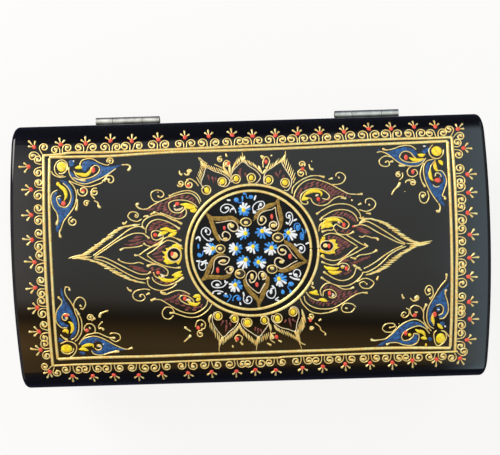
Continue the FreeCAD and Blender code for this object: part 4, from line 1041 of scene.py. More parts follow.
PETAL_EXTRAS_PX = {
    "gold_line": (
        ((224.6, 168.4), (223.4, 164), (226, 160.4), (229.6, 162.2), (229.4, 166)),
        ((263.4, 167.6), (263, 161.6), (266, 156.6), (269.4, 160.2), (268.4, 165), (265.4, 168)),
        ((236.8, 342), (235, 338), (238, 335), (242.2, 337), (241.6, 341.4)),
        ((275, 343), (270.6, 339.4), (271.4, 334), (275.6, 333)),
        ((299.4, 341), (302.4, 343.6), (305.6, 344.8)), ((199.2, 157.4), (203, 161), (207.4, 163.8)),
        ((214.4, 164.2), (218, 166), (223, 168.4)),
    ),
    "gold_leaf": (
        ((222.8, 165.6), (225.4, 170.4), (229.4, 175.4)), ((258.4, 165.4), (260.6, 170.4), (262.4, 173.8)),
        ((267.2, 168), (264.8, 171.4), (262.4, 173.8)), ((211.8, 314.2), (209.4, 318.4), (209, 322.6)),
        ((239.4, 323), (240.4, 328), (243, 332.4)), ((268.8, 322.6), (270.4, 327), (271, 331.4)),
        ((274.2, 324.8), (277, 329), (280.6, 331.8)), ((301.8, 309), (303.6, 316), (305.8, 323)),
        ((301.6, 317.2), (303.6, 324), (302.2, 330.8)), ((229.6, 163.6), (229.8, 169), (230.4, 175.6)),
        ((285.8, 153), (284.2, 158), (281.6, 162.6)), ((240.8, 156), (241.8, 159), (243, 162)),
        ((244.6, 155.6), (244.2, 159), (243.2, 162)), ((297.4, 331), (298.6, 337), (300.2, 343)),
    ),
    "gold_drop": (
        ((225.6, 153.4), (227, 157)), ((260.6, 155.4), (263, 158.8)), ((271.8, 154.4), (271.2, 156.6)),
        ((232.4, 345), (233.2, 347.6)), ((240.2, 341.6), (243, 345)), ((267, 343), (271.4, 345.4)),
        ((278, 340), (281.8, 342)), ((264.6, 156.8), (261, 156)),
    ),
    "gold_ring": ((220.2, 159.4, 3.0, 60, 1.2), (226.6, 163.8, 2.6, 200, 1.0), (272.8, 337, 2.2, 90, 1.0)),
    "red_spot": (
        (228.6, 163.6, 1.7, 2.1), (266, 161.6, 1.7, 2.4), (237.2, 339, 1.9, 2.4), (276.6, 337, 1.8, 2.4),
    ),
}

# Leaves of the medallion: the two brown bands, the pale lines inside them, their blobs and a red drop
LEAVES_PX = (
    dict(
        bands=(
            ((206.6, 213.8), (211, 220.6), (213.6, 228), (216, 234.4), (220, 241)),
            ((206.6, 213.8), (213, 218), (222, 218.6), (230, 217.8), (235, 219.4), (239.4, 223.4)),
        ),
        lines=(
            ((215.6, 222.8), (220, 222.4), (225, 221.4), (231, 220.6), (235.6, 222.4), (238.2, 227),
             (236.6, 230.6), (232.4, 231.2), (228.6, 228), (228.4, 224.6), (231.6, 223)),
            ((218.6, 234.6), (220.8, 238.8), (225, 240.8), (229, 239.4), (230.4, 236), (228.6, 233),
             (225, 231.6), (222.6, 234), (223, 237.4)),
        ),
        blobs=((231.8, 225.8, 2.6, 2.2), (225.4, 238.8, 2.6, 1.5)),
        drop=(224.4, 228, 1.5, 2.2),
    ),
    dict(
        bands=(
            ((278.4, 199.4), (275, 203.6), (268, 206.2), (262, 210), (257.4, 215), (254.8, 219.6)),
            ((278.4, 199.4), (278.6, 206), (280, 212), (281.2, 218), (280.4, 225), (277.6, 230.4)),
        ),
        lines=(
            ((275.4, 207), (272, 209.4), (266, 210.8), (260.6, 213.4), (258.2, 217.6), (257.8, 221.6),
             (260, 224.8), (263.6, 224), (266, 220.8), (265.2, 217.8), (262.4, 216.4), (260.2, 218)),
            ((275.4, 207), (276, 213), (277.4, 219), (278.8, 224), (278, 228.4), (274.6, 230.6),
             (271, 229.4), (269.4, 226), (270.6, 222.6), (274, 221.6), (276.6, 223.6), (276, 226.4)),
        ),
        blobs=((261.4, 219.6, 1.8, 2.2), (273.4, 225.6, 2.6, 2.3)),
        drop=(271.8, 216.6, 1.5, 2.8),
    ),
    dict(
        bands=(
            ((306.8, 261.6), (301, 257), (296, 250.6), (291, 245.6), (284.6, 241.4)),
            ((306.8, 261.6), (299, 264.4), (292, 268), (285, 270.4), (279, 270.6)),
        ),
        lines=(
            ((297, 258.8), (292.4, 254), (289.4, 249.4), (286, 245.8), (281.6, 245.2), (278, 248.2),
             (278.2, 252), (281, 254.6), (284.4, 254.4), (286, 252.2), (284.4, 249.6)),
            ((297.6, 260.6), (292, 263.4), (286.4, 267), (281.6, 268.6), (277.4, 266.8), (274.8, 263.4),
             (275.4, 259.4), (278.4, 257.8), (282, 259.2), (284.6, 261.4)),
        ),
        blobs=((282.2, 250, 2.2, 1.7), (281.6, 262, 2.6, 1.7)),
        drop=(290, 256.4, 1.9, 2.8),
    ),
    dict(
        bands=(
            ((259, 306), (257, 299), (251, 292.6), (246.4, 286), (244.6, 278.6)),
            ((259, 306), (261.6, 298), (264.6, 290.6), (267.2, 283.6), (268, 276.4)),
        ),
        lines=(
            ((246, 281), (250, 286.6), (258.6, 293), (262, 288.6), (265.4, 283)),
            ((246.8, 283), (246, 278), (248, 273), (252, 270.8), (255.6, 272.4), (256.6, 276.6),
             (254.4, 281.2), (250.8, 282.4), (249.4, 279)),
            ((259.4, 280), (258.2, 275.4), (260, 271.8), (263, 271.8), (266, 274.8), (265.2, 278.6),
             (262, 279.2)),
        ),
        blobs=((252, 276.6, 2.0, 3.2), (263, 275.2, 2.2, 2.8)),
        drop=(257, 284.6, 1.7, 2.8),
    ),
    dict(
        bands=(
            ((201, 281.2), (206.4, 274.4), (209.4, 267), (213, 260), (218, 256), (224, 253.8)),
            ((201, 281.2), (208, 277.4), (216, 277.2), (224, 277.4), (230.6, 274.8)),
        ),
        lines=(
            ((211.4, 274), (213.4, 269), (214, 263), (215.4, 259), (219, 256.8), (225, 256.4),
             (229.2, 258.2), (228, 262.4), (225, 264.4), (221, 264.2), (219, 262.4), (222, 260)),
            ((224.6, 270), (227.4, 267.2), (231.6, 266.6), (233.4, 269.4), (231.4, 272.6), (228, 273),
             (226.6, 270.6)),
        ),
        blobs=((223.4, 260.8, 3.0, 1.7), (231, 269.4, 1.8, 2.3)),
        drop=(217.8, 270.2, 1.7, 3.2),
    ),
)

# Small gold ovals: centre, two radii, and the blob inside
OVALS_PX = (
    (246, 222, 5.2, 4.0, 246, 222.6), (278.2, 237.4, 5.4, 4.3, 278, 237.8),
    (220.4, 248.8, 4.6, 4.0, 220, 248.6), (240.2, 273.8, 4.8, 4.3, 238.4, 273.2),
    (272.2, 269.2, 4.9, 4.1, 272.2, 268.2),
)

# Daisies: the eye, the middle of the petals, their two radii, and the angle that their white side faces
DAISIES_PX = (
    (243.6, 210, 244.4, 209.6, 6.6, 6.6, 90), (245.6, 233.4, 242.8, 233.4, 6.6, 6.4, 140),
    (262.2, 231, 263.6, 232.8, 7.8, 6.2, 40), (288.4, 232.6, 290.2, 234.4, 6.6, 7.0, 20),
    (213, 248.4, 209.6, 249, 6.4, 6.4, 185), (236.2, 248.6, 235, 248.6, 6.8, 6.4, 170),
    (253, 246.6, 252.6, 247.6, 6.6, 6.0, 230), (271.6, 247.8, 270.6, 248.4, 6.8, 6.8, 300),
    (245.8, 259.8, 243.4, 262.6, 6.8, 6.4, 250), (258.4, 262, 260, 262.4, 6.4, 6.0, 320),
    (235.4, 284.8, 235.8, 286, 6.8, 6.4, 250), (279, 278.8, 280.6, 280.2, 6.4, 6.6, 300),
)

# Sprays between the leaves: thin lines, thick dabs, and round blobs (x, y, two radii)
WHITE_LINES_PX = (
    ((236, 213.4), (235, 209.6), (232, 205.8), (228, 204.2), (224, 204.8), (221, 207.4), (221, 211),
     (224, 212.8), (227, 211.6), (229, 208.8), (227.6, 206.6)),
    ((230.2, 212.4), (230.8, 210), (233.4, 208.6)),
    ((212, 241), (208, 240.6), (204, 237.6), (201.4, 233.4), (202.2, 229.4), (205.6, 227.6), (209, 229),
     (210.6, 232), (209, 234.8), (206.4, 234)),
    ((254.8, 212.6), (253, 210), (253, 206.6), (255.4, 203.4), (259, 201.6), (263, 201.6), (264.6, 204.4),
     (263, 207.6), (260, 208.8), (256.6, 210)),
    ((258.6, 208.6), (259, 206), (261, 204)),
    ((286, 222), (288.2, 224), (290, 220.6), (290, 218.4), (287, 217.6), (286.2, 214.6), (288, 212.4),
     (291, 212.8), (292.6, 216), (292.4, 220.4), (290.6, 224), (289.4, 225.6)),
    ((296, 246.4), (298.4, 244.6), (301.6, 244.2), (304.4, 246.6), (304.8, 250), (302.6, 252.6), (300, 252),
     (298.8, 249.6)),
    ((200, 260), (199, 263.4), (198.8, 266.6), (200.4, 269.6), (203.6, 270), (205.8, 267.4), (205.4, 263.8),
     (203.4, 262.6)),
    ((221.6, 284.4), (219.6, 281.4), (215.6, 280.6), (212.2, 282.6), (212, 285.6), (215, 287.6),
     (219.4, 287.6), (223.4, 286.6), (226.6, 283.4)),
    ((212.8, 293.6), (213.6, 291.6), (218, 290.8), (223.6, 292)),
    ((243.6, 296), (243.8, 300.6), (246, 303), (249.4, 303.4), (251.8, 300.6), (251.2, 297.6),
     (248.6, 296.4), (246.4, 298.4)),
    ((271.6, 285.6), (274.6, 287.6), (275.6, 291), (275.4, 295), (273, 298), (269.4, 297.8), (267, 295.4),
     (267, 292.4), (269.4, 290.2)),
    ((278.8, 297), (275.4, 299.4), (279, 301)),
    ((298, 277.4), (294.4, 275.4), (293.6, 272), (296, 269.6), (299.4, 270.4), (300.6, 274), (299, 277.4)),
)
WHITE_DABS_PX = (
    ((226.8, 200), (230.6, 200.4)), ((210.2, 238), (211.4, 240.2)), ((211.4, 240.2), (213.8, 238.8)),
    ((195.8, 239.4), (198.2, 237), (199.8, 238.2), (199.8, 241.2)), ((254.2, 200.4), (256, 195.2)),
    ((293.2, 221), (297, 219)), ((294, 243.6), (297, 246.2)), ((305.4, 244.2), (309.4, 242.4)),
    ((196, 261), (199.6, 261.4)), ((200.4, 261.6), (203.4, 262), (206.8, 260.2)),
    ((205.2, 262.2), (208.2, 263.8)), ((201, 265.6), (203.4, 263)),
    ((225, 280), (225.4, 282.4), (228.2, 282.2)), ((212.6, 294), (213.4, 292)),
    ((217.2, 293.8), (221.2, 293.2)), ((243.2, 291.8), (244.2, 296.4)), ((240, 302), (240.8, 305.2)),
    ((270.4, 289.6), (273.6, 287.4), (271.8, 285.4)), ((276.4, 299.8), (279.6, 301.2)),
    ((288.6, 274.2), (292.4, 273.6)), ((289.6, 276.4), (294, 278.6), (300.2, 279.8)),
    ((285.8, 222), (288, 224.2)),
)
WHITE_BLOBS_PX = (
    (226.4, 207.8, 1.8, 1.4), (232.6, 208.8, 1.6, 1.2), (206, 231, 1.3, 2.2), (254.6, 212.2, 2.0, 1.7),
    (260.8, 204.6, 1.6, 2.0), (289.4, 216.2, 1.4, 1.8), (301, 248.2, 2.0, 2.0), (217.6, 285, 2.4, 1.6),
    (247, 300.4, 1.5, 1.8), (271, 291.8, 1.6, 2.6), (295.6, 275, 2.2, 1.7), (225.8, 293.8, 1.3, 1.1),
)

BLUE_LINES_PX = (
    ((237.6, 202.4), (241.6, 202.4), (242.8, 198), (242.4, 195.6)),
    ((243, 194), (244.6, 192.8), (246, 194.4), (246.6, 197.4), (248.6, 198.4)),
    ((301.6, 228), (303, 231), (303.6, 236), (302.6, 239.6), (300.6, 238.4), (300.4, 234), (302, 232.4)),
    ((294.6, 229.4), (294.2, 226), (296, 223.4), (299.2, 224), (300, 227.6), (298, 230.2), (295.6, 229)),
    ((203, 251), (202.6, 254.6), (200.4, 256.8), (198, 255.8), (198.2, 253)),
    ((229.6, 294), (231, 296.6), (229, 300), (227, 302)),
    ((232.8, 300.2), (233.8, 297.2), (236.4, 295.4), (239.6, 296)),
    ((288.4, 285), (288, 287.6), (290.6, 290.6)), ((305.8, 229), (305, 233.6)),
)
BLUE_DABS_PX = (
    ((242.4, 196), (242.6, 200)), ((198.6, 243.6), (198.4, 248.8)),
    ((223.4, 295.2), (226, 296.4), (228.6, 297)), ((243, 194.2), (245.6, 193.4)),
)
BLUE_BLOBS_PX = (
    (236.4, 200, 2.7, 2.6), (251, 197, 2.4, 2.1), (297.4, 227, 1.9, 2.4), (302, 236, 1.2, 2.6),
    (199.6, 255.2, 2.2, 2.2), (238.8, 298.6, 2.5, 2.5), (291, 284, 3.1, 2.5), (290.8, 291.8, 1.7, 1.6),
    (282.8, 292, 2.0, 2.5), (226, 296, 2.4, 1.4), (233, 300.2, 1.0, 1.0),
)


def about(value, spread):
    """A value with a random change of up to the spread either way."""
    return value + random.uniform(-spread, spread)


def foot_on(line, point, reach=4):
    """The nearest place to a point on a line, and the line's way there."""
    fine = smooth(line, 0.3 * MM)
    i = int(np.clip(np.argmin(np.linalg.norm(fine - point, axis=1)), reach, len(fine) - reach - 1))
    return fine[i], fine[i + reach] - fine[i - reach]


def sprig(dot_at, foot, across, reach):
    """One border sprig: two curls off the frame line, a red dot, and three petals that fan outward."""
    out = dot_at - foot
    gap = np.linalg.norm(out)
    out = out / gap
    flat = np.array(across, float)
    flat = flat / np.linalg.norm(flat)
    turn = math.atan2(flat[1], flat[0])
    leftward = out @ np.array([-flat[1], flat[0]]) > 0
    for side in (-1, 1):
        size = about(*CURL_RADIUS) * MM
        middle = side * about(*CURL_OFFSET) * MM
        level = min(CURL_LEVEL * gap, size + CURL_CLEARANCE)
        eye = foot + middle * flat + level * out
        stem = foot + side * (CURL_STEM + random.uniform(*STEM_STRAY)) * MM * flat
        hand = -side if leftward else side
        curl = spiral(eye - side * size * flat, eye, about(*CURL_TURNS), hand, CURL_INNER)
        bend = (1 - STEM_BEND) * stem + STEM_BEND * curl[:1]
        stroke("border_scrolls", np.vstack([stem, bend, curl]), *SCROLL)
        dot("border_scrolls", curl[-1], CURL_DOT, CURL_DOT_HEIGHT, CURL_DOT_STRETCH, turn)
    for angle, length in SPRIG_PETALS:
        a = math.radians(about(angle, FAN_STRAY))
        way = out * math.cos(a) + flat * math.sin(a)
        tip = dot_at + way * reach * length * random.uniform(*FAN_SHARES)
        stroke("border_petals", [dot_at + way * FAN_START, tip], *SPRIG_PETAL)
    dot("border_dots", dot_at, SPRIG_DOT, stretch=SPRIG_DOT_STRETCH, turn=random.uniform(0, 3))


def paint_border():
    """The double gold frame and the sprigs that stand on it all round."""
    for line, width in FRAME_PX:
        stroke("frame_lines", from_photo(line), width, step=FRAME_STEP)
    for dots_px, line, reach in SIDES:
        for dot_at in from_photo(dots_px):
            foot, way = foot_on(from_photo(line), dot_at)
            sprig(dot_at, foot, way, reach)
    corners = from_photo((FRAME_TOP_PX[0], FRAME_TOP_PX[-1], FRAME_RIGHT_PX[-1], FRAME_LEFT_PX[0]))
    for foot, corner in zip(corners, from_photo(CORNER_DOTS_PX)):
        out = corner - foot
        sprig(corner, foot, (-out[1], out[0]), CORNER_REACH)


def paint_rings():
    """The medallion's matt black ground and its two gold rings."""
    (centre_px, radius), _ = RINGS
    ground = circle(from_photo([centre_px])[0], radius, 40)[:-1]
    patch("medallion_ground", ground, height=0.03 * MM, edge=0.4 * MM, step=1.8 * MM)
    for centre_px, radius in RINGS:
        stroke("medallion_rings", circle(from_photo([centre_px])[0], radius), *MEDALLION_RING)


def comb(piece, field):
    """Short brush marks side by side, all at one angle, kept inside a closed outline."""
    angle, outline_px = field
    outline = np.array(outline_px, float)
    a = math.radians(angle)
    along, across = np.array([math.cos(a), math.sin(a)]), np.array([-math.sin(a), math.cos(a)])
    low, high = (outline @ across).min(), (outline @ across).max()
    left, right = (outline @ along).min(), (outline @ along).max()
    row = low + COMB_GAP * 0.5
    while row < high:
        spots = np.outer(np.arange(left, right, COMB_STEP), along) + row * across
        start = None
        for i, hit in enumerate(np.append(inside(spots, outline), False)):
            if hit and start is None:
                start = i
            if start is not None and (not hit or (i - start) * COMB_STEP > about(COMB_REACH, COMB_STRAY)):
                if i - start > COMB_FEWEST:
                    wave = random.uniform(*COMB_WAVE) * across
                    third, last = (i - start) // 3, i - 1
                    ends = spots[start], spots[start + third] + wave, spots[last - third] - wave, spots[last]
                    stroke(piece, from_photo(ends), *MAROON_COMB)
                start = None if not hit else i
        row += COMB_GAP * random.uniform(*COMB_GAPS)


def rope(piece, path_px, count, length, angle, width_px):
    """A twisted edge: short leaning marks laid one over the next along a path."""
    path = smooth(path_px, 0.4)
    along = lengths(path)
    for at in np.linspace(0, along[-1], count):
        middle = point_at(path, along, at)
        lean = math.radians(angle) + math.radians(random.uniform(-ROPE_TURN, ROPE_TURN))
        way = np.array([math.cos(lean), math.sin(lean)]) * length * random.uniform(*ROPE_HALF)
        bend = np.array([-way[1], way[0]]) * random.uniform(-ROPE_BEND, ROPE_BEND)
        ends = middle - way, middle + bend, middle + way
        stroke(piece, from_photo(ends), width_px * PIXEL, SWELL, ROPE_HEIGHT)


def hatch(piece, path_px, lean, length, gap, brush):
    """Short strokes centred on a path, all leaning the same way from it."""
    path = smooth(path_px, 0.3)
    along = lengths(path)
    at = gap * 0.5
    while at < along[-1]:
        middle, ahead = point_at(path, along, at), point_at(path, along, at + 0.6)
        way = (ahead - middle) / max(np.linalg.norm(ahead - middle), TINY)
        turn = math.atan2(way[1], way[0]) + math.radians(about(lean, HATCH_TURN))
        half = 0.5 * length * random.uniform(*HATCH_LENGTHS) * np.array([math.cos(turn), math.sin(turn)])
        stroke(piece, from_photo((middle - half, middle, middle + half)), *brush)
        at += gap * random.uniform(*HATCH_GAPS)


def barbs(piece, feet_px, turns, reaches, count):
    """Gold barbs that stand on a path; turn (degrees from east) and reach run from the first to the last."""
    path = smooth(feet_px, 0.3)
    along = lengths(path)
    for share in np.linspace(0, 1, count):
        foot = point_at(path, along, share * along[-1])
        a = math.radians(about(turns[0] + share * (turns[1] - turns[0]), BARB_TURN))
        out = np.array([math.cos(a), -math.sin(a)])
        size = (reaches[0] + share * (reaches[1] - reaches[0])) * random.uniform(*BARB_REACHES)
        bend = BARB_BEND * np.array([-out[1], out[0]]) * random.uniform(-1, 1)
        ends = foot + out * BARB_START, foot + out * size * 0.5 + bend, foot + out * size
        width = BARB.width * random.uniform(*BARB_WIDTHS)
        stroke(piece, from_photo(ends), width, BARB.profile, BARB.height)


def spot(piece, x, y, across, up, height):
    """An oval drop at a pixel of the photograph, with its two radii in pixels."""
    dot(piece, from_photo([(x, y)])[0], up * PIXEL, height, across / up)


def gold_curl(piece, ring):
    """A thin line that winds in to a gold drop."""
    path = ring_path(*ring)
    stroke(piece, from_photo(path), *CURL_LINE)
    spot(piece, *path[-1], *CURL_BLOB_PX, BLOB_HEIGHT)


def burst(piece, flower):
    """A jagged yellow flower with a black eye, a pale ring round it and a gold drop inside."""
    outline, (x, y, across, up), blob = flower
    motif = piece.removesuffix("_yellow")
    patch(piece, from_photo(outline))
    eye = from_photo(circle((x, y), across, EYE_POINTS, up / across)[:-1])
    patch(f"{motif}_eye", eye, BURST_EYE_HEIGHT)
    stroke(f"{motif}_cream", from_photo(circle((x, y), across, CREAM_POINTS, up / across)), *CREAM_RING)
    spot(f"{motif}_gold", *blob, BURST_BLOB_HEIGHT)


def brushed(brush):
    """A painter of strokes with one brush."""

    def paint(piece, path):
        stroke(piece, from_photo(path), *brush)

    return paint


def dropped(height):
    """A painter of oval drops of one height."""

    def paint(piece, drop):
        spot(piece, *drop, height)

    return paint


def filled(height):
    """A painter of flat areas of one height."""

    def paint(piece, outline):
        patch(piece, from_photo(outline), height)

    return paint


# How each kind of mark is painted; the first word of the kind is the colour
PAINTERS = {
    "gold_line": brushed(THIN_LINE),
    "gold_drop": brushed(GOLD_DROP),
    "gold_leaf": brushed(GOLD_LEAF),
    "gold_ring": gold_curl,
    "blue_patch": filled(0.1 * MM),
    "maroon_comb": comb,
    "maroon_stroke": brushed(MAROON_MARK),
    "yellow_stroke": brushed(YELLOW_MARK),
    "yellow_disc": dropped(0.2 * MM),
    "yellow_burst": burst,
    "cream_stroke": brushed(CREAM_MARK),
    "red_spot": dropped(0.34 * MM),
    "white_spot": dropped(0.15 * MM),
}


def paint_motif(name, motif):
    """Every mark of one motif, kind by kind, a piece for each colour."""
    for kind, paint in PAINTERS.items():
        colour = kind.split("_")[0]
        for mark in motif.get(kind, ()):
            paint(f"{name}_{colour}", mark)


def paint_arrow(name, motif, ropes, tips):
    """One of the two long pointed ornaments beside the medallion."""
    for edge in ropes:
        rope(f"{name}_gold", *edge)
    for path in tips:
        stroke(f"{name}_gold", from_photo(path), *GOLD_TIP)
    paint_motif(name, motif)


def paint_petals():
    """The feathered lotus petals above and below the medallion."""
    for petal in PETALS_PX:
        point, neck, foot = petal["spike"]
        tip = min(petal["outline"], key=lambda place: math.dist(place, point))
        stroke("petals_gold", from_photo((point, neck, tip)), *SPIKE_NEEDLE)
        stroke("petals_gold", from_photo((neck, foot, tip)), *SPIKE_ROOT)
        for flank in petal["barbs"]:
            barbs("petals_gold", *flank)
        for band in petal["bands"]:
            rope("petals_gold", *band)
        stroke("petals_cream", from_photo(petal["outline"]), *PETAL_OUTLINE)
        for ring in petal["curls"]:
            stroke("petals_gold", from_photo(ring_path(*ring, inner=0.9)), *PETAL_CURL)
        for eye in petal["eyes"]:
            spot("petals_yellow", *eye, PETAL_EYE_HEIGHT)
        for vein in petal["veins"]:
            stroke("petals_maroon", from_photo(vein), *MAROON_VEIN)
    paint_motif("petals", PETAL_EXTRAS_PX)


def paint_leaf(leaf):
    """One leaf of the medallion, with a hatched band along each of its two sides."""
    for band, lean in zip(leaf["bands"], RIB_LEANS):
        stroke("leaves_band", from_photo(band), *LEAF_BAND, flat=True)
        hatch("leaves_band", band, lean, length=7.0, gap=2.2, brush=LEAF_RIB)
        hatch("leaves_hatch", band, -lean * SHADE_LEAN, length=3.2, gap=3.4, brush=LEAF_SHADE)
    for line in leaf["lines"]:
        stroke("leaves_cream", from_photo(line), *LEAF_LINE)
    for blob in leaf["blobs"]:
        spot("leaves_gold", *blob, BLOB_HEIGHT)
    spot("leaves_red", *leaf["drop"], LEAF_DROP_HEIGHT)


def paint_oval(x, y, across, up, blob_x, blob_y):
    """A small gold ring with a brown shade and a gold blob inside."""
    spot("leaves_shade", x, y, across * OVAL_SHADE, up * OVAL_SHADE, OVAL_SHADE_HEIGHT)
    stroke("leaves_gold", from_photo(circle((x, y), across, EYE_POINTS, up / across)), *OVAL_LINE)
    spot("leaves_gold", blob_x, blob_y, *OVAL_BLOB_PX, BLOB_HEIGHT)


def paint_daisy(x, y, middle_x, middle_y, across, up, bright):
    """One daisy: white dabs on the side towards the angle, blue on the other, round a yellow eye."""
    count = random.choice(DAISY_COUNTS)
    eye = np.array([x, y])
    for i in range(count):
        a = 2 * math.pi * about(i, DAISY_STRAY) / count
        facing = about(math.cos(a - math.radians(bright)), FACING_STRAY)
        colour = "white" if facing > WHITE_FROM else "sky"
        reach = random.uniform(*DAISY_REACHES)
        tip = np.array([middle_x + across * reach * math.cos(a), middle_y - up * reach * math.sin(a)])
        root = eye + (tip - eye) * DAISY_ROOT
        width, height = random.uniform(*DAISY_WIDTHS) * MM, random.uniform(*DAISY_HEIGHTS) * MM
        stroke(f"daisies_{colour}", from_photo((root, (root + tip) / 2, tip)), width, DAISY_PROFILE, height)
    spot("daisies_yellow", x, y, *DAISY_EYE_PX, DAISY_EYE_HEIGHT)


def paint_sprays(colour, lines, dabs, blobs):
    """The sprays of one colour: thin lines, thick dabs and round blobs."""
    for path in lines:
        stroke(f"sprays_{colour}", from_photo(path), *SPRAY_LINE)
    for path in dabs:
        stroke(f"sprays_{colour}", from_photo(path), *SPRAY_DAB)
    for blob in blobs:
        spot(f"sprays_{colour}", *blob, SPRAY_BLOB_HEIGHT)


def paint_medallion():
    """The round field: leaves, small ovals, daisies and sprays."""
    for leaf in LEAVES_PX:
        paint_leaf(leaf)
    for oval in OVALS_PX:
        paint_oval(*oval)
    for daisy in DAISIES_PX:
        paint_daisy(*daisy)
    paint_sprays("white", WHITE_LINES_PX, WHITE_DABS_PX, WHITE_BLOBS_PX)
    paint_sprays("sky", BLUE_LINES_PX, BLUE_DABS_PX, BLUE_BLOBS_PX)


# Finishes: where the noise turns from the dark to the light colour, how much finer the bump is than the
# blotches, how strong it is, and how rough the varnish is
BLOTCH_DARK, BLOTCH_LIGHT = 0.35, 0.68
BUMP_FINER, BUMP_STRENGTH = 4, 0.35
VARNISH_ROUGH = 0.05

# Lacquer: its two blacks, the waves of hand rubbing and the grain of dust by scale, strength and height
LACQUER_DARK, LACQUER_LIGHT = (0.0015, 0.0015, 0.002), (0.0045, 0.004, 0.004)
WAVE_SCALE, WAVE_STRENGTH, WAVE_HEIGHT = 22.0, 0.18, 0.6 * MM
GRAIN_SCALE, GRAIN_STRENGTH, GRAIN_HEIGHT = 900.0, 0.03, 0.1 * MM
LACQUER_SMOOTH, LACQUER_ROUGH = 0.06, 0.13
LACQUER_IOR = 1.5


def adder(tree):
    """A helper that adds a node to a tree and sets its properties and inputs by name."""

    def add(kind, **values):
        node = tree.nodes.new(kind)
        for key, value in values.items():
            if hasattr(node, key):
                setattr(node, key, value)
            else:
                node.inputs[key.replace("_", " ")].default_value = value
        return node

    return add


def colour_ramp(add, stops):
    """A colour ramp node with a colour at each of its places."""
    node = add("ShaderNodeValToRGB")
    elements = node.color_ramp.elements
    while len(elements) < len(stops):
        elements.new(0.5)
    for element, (at, colour) in zip(elements, stops):
        element.position = at
        element.color = (*colour, 1)
    return node


def shader(name):
    """A new material, its node tree, its Principled shader and a helper that adds nodes."""
    material = bpy.data.materials.new(name)
    material.use_nodes = True
    tree = material.node_tree
    return material, tree, tree.nodes["Principled BSDF"], adder(tree)


def varied(name, dark, light, scale, rough, metallic=0.0, bump=0.0, coat=0.0, shine=0.5):
    """A material with blotchy colour, uneven roughness and a fine bump."""
    material, tree, principled, add = shader(name)
    link = tree.links.new
    where = add("ShaderNodeTexCoord")
    noise = add("ShaderNodeTexNoise", Scale=scale, Detail=6.0)
    link(where.outputs["Object"], noise.inputs["Vector"])
    ramp = colour_ramp(add, ((BLOTCH_DARK, dark), (BLOTCH_LIGHT, light)))
    link(noise.outputs["Fac"], ramp.inputs["Fac"])
    link(ramp.outputs["Color"], principled.inputs["Base Color"])
    spread = add("ShaderNodeMapRange", To_Min=rough[0], To_Max=rough[1])
    link(noise.outputs["Fac"], spread.inputs["Value"])
    link(spread.outputs["Result"], principled.inputs["Roughness"])
    fine = add("ShaderNodeTexNoise", Scale=scale * BUMP_FINER, Detail=4.0)
    link(where.outputs["Object"], fine.inputs["Vector"])
    raised = add("ShaderNodeBump", Strength=BUMP_STRENGTH, Distance=bump)
    link(fine.outputs["Fac"], raised.inputs["Height"])
    link(raised.outputs["Normal"], principled.inputs["Normal"])
    principled.inputs["Metallic"].default_value = metallic
    principled.inputs["Coat Weight"].default_value = coat
    principled.inputs["Coat Roughness"].default_value = VARNISH_ROUGH
    principled.inputs["Specular IOR Level"].default_value = shine
    return material


def lacquer_material():
    """Deep black gloss lacquer with the faint waviness of a hand-rubbed surface and fine dust."""
    material, tree, principled, add = shader("black_lacquer")
    link = tree.links.new
    where = add("ShaderNodeTexCoord")
    wave = add("ShaderNodeTexNoise", Scale=WAVE_SCALE, Detail=2.0)
    grain = add("ShaderNodeTexNoise", Scale=GRAIN_SCALE, Detail=2.0)
    link(where.outputs["Object"], wave.inputs["Vector"])
    link(where.outputs["Object"], grain.inputs["Vector"])
    low = add("ShaderNodeBump", Strength=WAVE_STRENGTH, Distance=WAVE_HEIGHT)
    link(wave.outputs["Fac"], low.inputs["Height"])
    fine = add("ShaderNodeBump", Strength=GRAIN_STRENGTH, Distance=GRAIN_HEIGHT)
    link(grain.outputs["Fac"], fine.inputs["Height"])
    link(low.outputs["Normal"], fine.inputs["Normal"])
    link(fine.outputs["Normal"], principled.inputs["Normal"])
    blotch = add("ShaderNodeMapRange", To_Min=LACQUER_SMOOTH, To_Max=LACQUER_ROUGH)
    link(wave.outputs["Fac"], blotch.inputs["Value"])
    link(blotch.outputs["Result"], principled.inputs["Roughness"])
    tint = colour_ramp(add, ((0, LACQUER_DARK), (1, LACQUER_LIGHT)))
    link(wave.outputs["Fac"], tint.inputs["Fac"])
    link(tint.outputs["Color"], principled.inputs["Base Color"])
    principled.inputs["IOR"].default_value = LACQUER_IOR
    return material


def glossy_paint(name, dark, light, scale, bump=0.04 * MM):
    """Thick bright paint with a thin coat of varnish."""
    return varied(name, dark, light, scale, rough=(0.25, 0.4), bump=bump, coat=0.3)


